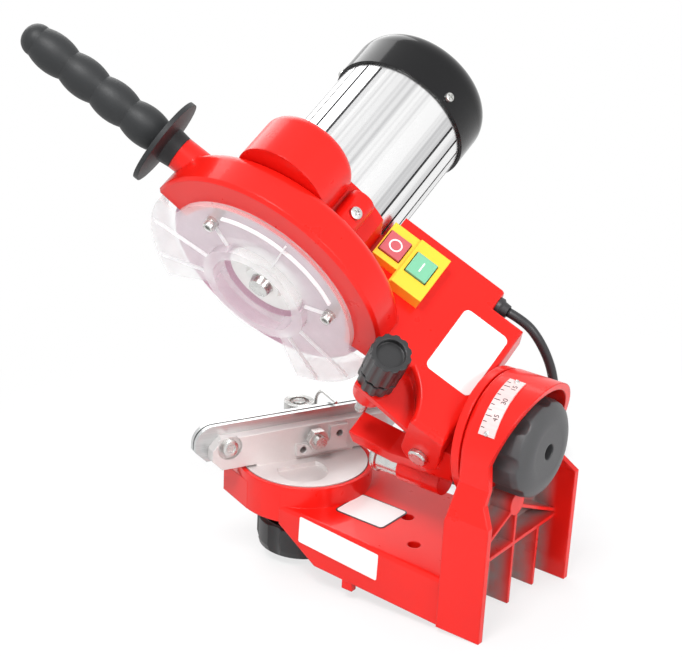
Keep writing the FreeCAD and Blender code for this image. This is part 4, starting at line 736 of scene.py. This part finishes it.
def loft(name, where, layers, finish, body, ringShaped=False):
    mesh = bpy.data.meshes.new(name)
    shape = bmesh.new()
    rings = [[shape.verts.new(where @ mm(x, y, height)) for x, y in outline] for outline, height in layers]
    for first, second in zip(rings, rings[1:]):
        joinRings(shape, first, second)
    if ringShaped:
        joinRings(shape, rings[-1], rings[0])
    else:
        closeEnds(shape, rings)
    bmesh.ops.recalc_face_normals(shape, faces=shape.faces)
    for face in shape.faces:
        face.smooth = True
    shape.to_mesh(mesh)
    shape.free()
    mesh.set_sharp_from_angle(angle=math.radians(sharpAngle))
    piece = newPiece(name, mesh, finish)
    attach(piece, body)
    return piece


def thinPlate(name, where, size, corner, thick, finish, body):
    halfLong, halfWide = size[0] / 2, size[1] / 2
    soft = thick / 3
    outline = plateOutline(halfLong, halfWide, corner)
    layers = [(outline, -plateSunk), (outline, thick - soft),
              (plateOutline(halfLong, halfWide, corner, soft), thick)]
    return loft(name, where, layers, finish, body)


def flatRing(name, where, radii, thick, finish, body):
    outer, inner = [circleOutline(radius) for radius in radii]
    layers = [(outer, -plateSunk), (outer, thick), (inner, thick), (inner, -plateSunk)]
    return loft(name, where, layers, finish, body, ringShaped=True)


def screwHead(name, where, spec, body):
    # a turned head with a rounded rim and a recess, a hexagon socket or a cross, that narrows downward
    radius, height, soft = spec["radius"], spec["height"], spec["soft"]
    rim = 0.3 * soft
    narrowing = 0.8
    if spec["kind"] == "socket":
        recess = hexOutline(spec["recess"])
    else:
        recess = crossOutline(spec["recess"], spec["recess"] / 4)
    bottom = [(narrowing * x, narrowing * y) for x, y in recess]
    layers = [(circleOutline(radius), -spec["sunk"]), (circleOutline(radius), height - soft),
              (circleOutline(radius - rim), height - rim), (circleOutline(radius - soft), height),
              (recess, height), (bottom, height - spec["depth"])]
    return loft(name, where, layers, zinc, body)


# bare label plates on the arm, on the base's side wall and on its deck
labelSpec = {
    "arm": {"spot": (-24, -6.7), "size": (50, 33), "corner": 4},
    "side": {"spot": (-45, 21), "size": (66, 18.6), "corner": 1.2, "tilt": -1.6},
    "deck": {"spot": (9.4, -46.4), "size": (30.5, 39), "corner": 3.5, "border": 1.0, "top": 32},
    "thick": 0.35, "faceStep": 0.12, "wallHalf": 46, "wallTaper": 7.7 / 132, "wallStart": -64,
}


def makeLabels(spec):
    thick = spec["thick"]
    arm = spec["arm"]
    where = plateFrame(*arm["spot"])
    thinPlate("armPlate", where, arm["size"], arm["corner"], thick, labelWhite, "head")
    side = spec["side"]
    along, up = side["spot"]
    taper = spec["wallTaper"]
    wall = mm(spec["wallHalf"] + taper * (along - spec["wallStart"]), along, up)
    where = axisFrame(wall, Vector((1, -taper, 0)), Vector((taper, 1, 0))) @ turnZ(side["tilt"])
    thinPlate("sidePlate", where, side["size"], side["corner"], thick, labelWhite, "base")
    deck = spec["deck"]
    where = shift(*deck["spot"], deck["top"])
    thinPlate("deckPlate", where, deck["size"], deck["corner"], thick, ink, "base")
    inner = [length - 2 * deck["border"] for length in deck["size"]]
    thinPlate("deckPlateFace", where, inner, deck["corner"] - deck["border"], thick + spec["faceStep"],
              labelWhite, "base")


# stop and start signs on the buttons, in the switch's own frame
switchSpec = {"spot": (-45, -68), "stopAt": (-3.5, -11.5, 9.5), "startAt": (-1, 9.5, 11.5),
              "ring": (4.4, 3.4), "bar": (7.2, 1.0), "barCorner": 0.5, "thick": 0.25}


def makeSwitchSigns(spec):
    where = plateFrame(*spec["spot"])
    flatRing("stopSign", where @ shift(*spec["stopAt"]), spec["ring"], spec["thick"], markWhite,
             "stop")
    thinPlate("startSign", where @ shift(*spec["startAt"]), spec["bar"], spec["barCorner"], spec["thick"],
              markWhite, "start")


# screws that the castings do not carry themselves: what each head is like, and where it sits
socketScrew = {"kind": "socket", "radius": 3.5, "height": 4.2, "soft": 0.5, "sunk": 0.1, "recess": 2.1,
               "depth": 2.4}
crossScrew = {"kind": "cross", "radius": 3.6, "height": 2.4, "soft": 1.2, "sunk": 0.4, "recess": 2.2,
              "depth": 1.1}
screwSpec = {
    "guard": {"head": socketScrew, "front": 16, "circle": 56,
              "angles": {"guardScrew1": 126.5, "guardScrew2": 20.5}},
    "cap": {"head": {**crossScrew, "radius": 3.2}, "along": -156.4, "circle": 49,
            "angles": {"capScrew": 51.9, "capScrew2": 171.9, "capScrew3": 291.9}},
    "flange": {"head": {**crossScrew, "radius": 4.2, "height": 2.2, "sunk": 1.5}, "along": -33, "circle": 68,
               "angle": 57},
    "rail": {"head": {**socketScrew, "radius": 5.5, "height": 0.9, "recess": 3.4, "depth": 0.85, "soft": 0.4},
             "at": (55.5, 1, 63.5)},
}


def makeScrews(spec):
    guard = spec["guard"]
    for name, degrees in guard["angles"].items():
        screwHead(name, guardSpot(guard["front"], guard["circle"], degrees, yWay), guard["head"], "head")
    cap = spec["cap"]
    for name, degrees in cap["angles"].items():
        screwHead(name, spindleSpot(cap["along"], cap["circle"], degrees), cap["head"], "head")
    flange = spec["flange"]
    where = spindleSpot(flange["along"], flange["circle"], flange["angle"])
    screwHead("flangeScrew", where, flange["head"], "head")
    bolt = spec["rail"]
    screwHead("railBoltFace", turretFrame @ axisFrame(mm(*bolt["at"]), yWay, xWay), bolt["head"], "turret")


# moulded ribs on the clear guard: straight ones, each by its angle and far end, and one along the top
ribSpec = {
    "front": 14, "thick": 1.1, "height": 2.2, "corner": 0.5, "start": 37,
    "straight": [(73.5, 66), (126.5, 52), (20.5, 52), (172, 79), (198, 79), (-28, 79), (-52, 79)],
    "arcRadius": 60.5, "arcFrom": 31, "arcTo": 116, "steps": 28,
}


def makeGuardRibs(spec):
    height, front, start = spec["height"], spec["front"], spec["start"]
    for number, (degrees, finish) in enumerate(spec["straight"], start=1):
        where = guardSpot(front, (start + finish) / 2, degrees, awayFromSpindle(degrees))
        size = (finish - start, spec["thick"])
        thinPlate(f"guardRib{number}", where, size, spec["corner"], height, clearRib, "head")
    inner = spec["arcRadius"] - spec["thick"] / 2
    outer = spec["arcRadius"] + spec["thick"] / 2
    sweep = spec["arcTo"] - spec["arcFrom"]
    shares = [step / spec["steps"] for step in range(spec["steps"] + 1)]
    turns = [math.radians(spec["arcFrom"] + sweep * share) for share in shares]
    outline = [(outer * math.cos(turn), outer * math.sin(turn)) for turn in turns]
    outline += [(inner * math.cos(turn), inner * math.sin(turn)) for turn in reversed(turns)]
    layers = [(outline, -plateSunk), (outline, height)]
    loft("guardArcRib", guardSpot(front, 0, 0, yWay), layers, clearRib, "head")


# tilt scale on the hood: a tick every five degrees, a number every fifteen, and a rivet at each end
scaleSpec = {
    "radius": 43.37, "front": 47, "back": 58,
    "first": 15, "last": 60, "step": 5, "shortTick": 2.4, "longTick": 4.2, "tickInset": 0.4, "tickWidth": 0.5,
    "tickCorner": 0.1, "thick": 0.12,
    "numberAngles": (20, 35, 50), "numberStep": 15, "numberInset": 3.4, "textSize": 4.6, "textThick": 0.05,
    "rivetAngles": (11.8, 64.2),
}
rivetHead = {"kind": "socket", "radius": 1.7, "height": 0.8, "soft": 0.7, "sunk": 0.3, "recess": 0.5,
             "depth": 0.15}


def scaleSpot(spec, degrees, along):
    angle = math.radians(degrees)
    away = Vector((math.sin(angle), 0, math.cos(angle)))
    return axisFrame(tiltFrame.translation + mm(0, along, 0) + away * spec["radius"] / 1000, away, yWay)


def makeNumber(spec, text, where):
    data = bpy.data.curves.new("scaleNumber" + text, "FONT")
    data.body = text
    data.size = spec["textSize"] / 1000
    data.align_x = "CENTER"
    data.align_y = "CENTER"
    data.extrude = spec["textThick"] / 1000
    mesh = meshFromCurve(data)
    mesh.transform(where)
    mesh.materials.clear()
    piece = newPiece("scaleNumber" + text, mesh, ink)
    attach(piece, "base")


def makeScale(spec):
    for degrees in range(spec["first"], spec["last"] + 1, spec["step"]):
        numbered = (degrees - spec["numberAngles"][0]) % spec["numberStep"] == 0
        length = spec["longTick"] if numbered else spec["shortTick"]
        where = scaleSpot(spec, degrees, spec["front"] + spec["tickInset"] + length / 2)
        size = (length, spec["tickWidth"])
        thinPlate(f"scaleTick{degrees}", where, size, spec["tickCorner"], spec["thick"], ink, "base")
    for count, degrees in enumerate(spec["numberAngles"], start=1):
        where = scaleSpot(spec, degrees, spec["back"] - spec["numberInset"]) @ turnZ(90)
        makeNumber(spec, str(count * spec["numberStep"]), where)
    for number, degrees in enumerate(spec["rivetAngles"], start=1):
        where = scaleSpot(spec, degrees, (spec["front"] + spec["back"]) / 2)
        screwHead(f"scaleRivet{number}", where, rivetHead, "base")


makeLabels(labelSpec)
makeSwitchSigns(switchSpec)
makeScrews(screwSpec)
makeGuardRibs(ribSpec)
makeScale(scaleSpec)
print("small pieces made")

# plain pale floor under the part, and soft studio light, in metres
floorSpec = {"half": 6.0, "drop": 0.0003, "tone": (0.86, 0.86, 0.86, 1), "glowNear": 0.74,
             "glowReach": (0.22, 0.62)}


def backgroundRays(shading):
    # 1 for what is seen straight on, in a mirror or through a clear piece
    kinds = ("Is Camera Ray", "Is Glossy Ray", "Is Transmission Ray")
    seen, mirrored, through = [shading.add("ShaderNodeLightPath", outlet=kind) for kind in kinds]
    return (seen + mirrored + through).over(0.5)


def makeFloor(spec):
    half = spec["half"]
    mesh = bpy.data.meshes.new("studioFloor")
    edges = ((-half, -half), (half, -half), (half, half), (-half, half))
    corners = [floorFrame @ Vector((x, y, -spec["drop"])) for x, y in edges]
    mesh.from_pydata(corners, [], [(0, 1, 2, 3)])
    sheet = Finish("studioFloor", Roughness=0.9, Base_Color=spec["tone"])
    glow = sheet.add("ShaderNodeEmission")
    distance = sheet.add("ShaderNodeVectorMath", {"operation": "LENGTH"}, outlet=1, _0=sheet.place())
    share = spec["glowNear"] + (1 - spec["glowNear"]) * distance.ramp(*spec["glowReach"])
    matt = sheet.existing("Principled BSDF")
    mix = sheet.add("ShaderNodeMixShader", _0=backgroundRays(sheet) * share, _1=matt, _2=glow)
    sheet.show(mix, "Material Output")
    newPiece("studioFloor", mesh, sheet)


# the world lights the part with a cool grey and shows plain white
worldSpec = {"tone": (0.93, 0.94, 0.96, 1), "strength": 0.60, "shown": (1, 1, 1, 1), "shownStrength": 1.0}


def makeWorld(spec):
    world = bpy.data.worlds.new("studioWorld")
    scene.world = world
    world.use_nodes = True
    light = world.node_tree.nodes["Background"]
    light.inputs["Color"].default_value = spec["tone"]
    light.inputs["Strength"].default_value = spec["strength"]
    sky = Shading(world.node_tree)
    shown = sky.add("ShaderNodeBackground", Color=spec["shown"], Strength=spec["shownStrength"])
    mix = sky.add("ShaderNodeMixShader", _0=backgroundRays(sky), _1=sky.existing("Background"), _2=shown)
    sky.show(mix, "World Output")


# softboxes, all aimed at the middle of the part
lampSpecs = [
    {"name": "keySoftbox", "at": (0.9, 0.1, 1.5), "size": 0.5, "power": 20},
    {"name": "rearSoftbox", "at": (0.4, 1.5, 0.9), "size": 0.5, "power": 12},
    {"name": "fillSoftbox", "at": (-0.7, -1.2, 1.0), "size": 1.2, "power": 10},
]
lampAim = Vector((0, -0.02, 0.12))


def makeLamp(spec):
    data = bpy.data.lights.new(spec["name"], "AREA")
    data.size = spec["size"]
    data.energy = spec["power"]
    lamp = bpy.data.objects.new(spec["name"], data)
    lamp.location = spec["at"]
    lamp.rotation_euler = (lampAim - Vector(spec["at"])).to_track_quat("-Z", "Y").to_euler()
    scene.collection.objects.link(lamp)


makeFloor(floorSpec)
makeWorld(worldSpec)
for lampSpec in lampSpecs:
    makeLamp(lampSpec)
print("studio ready")
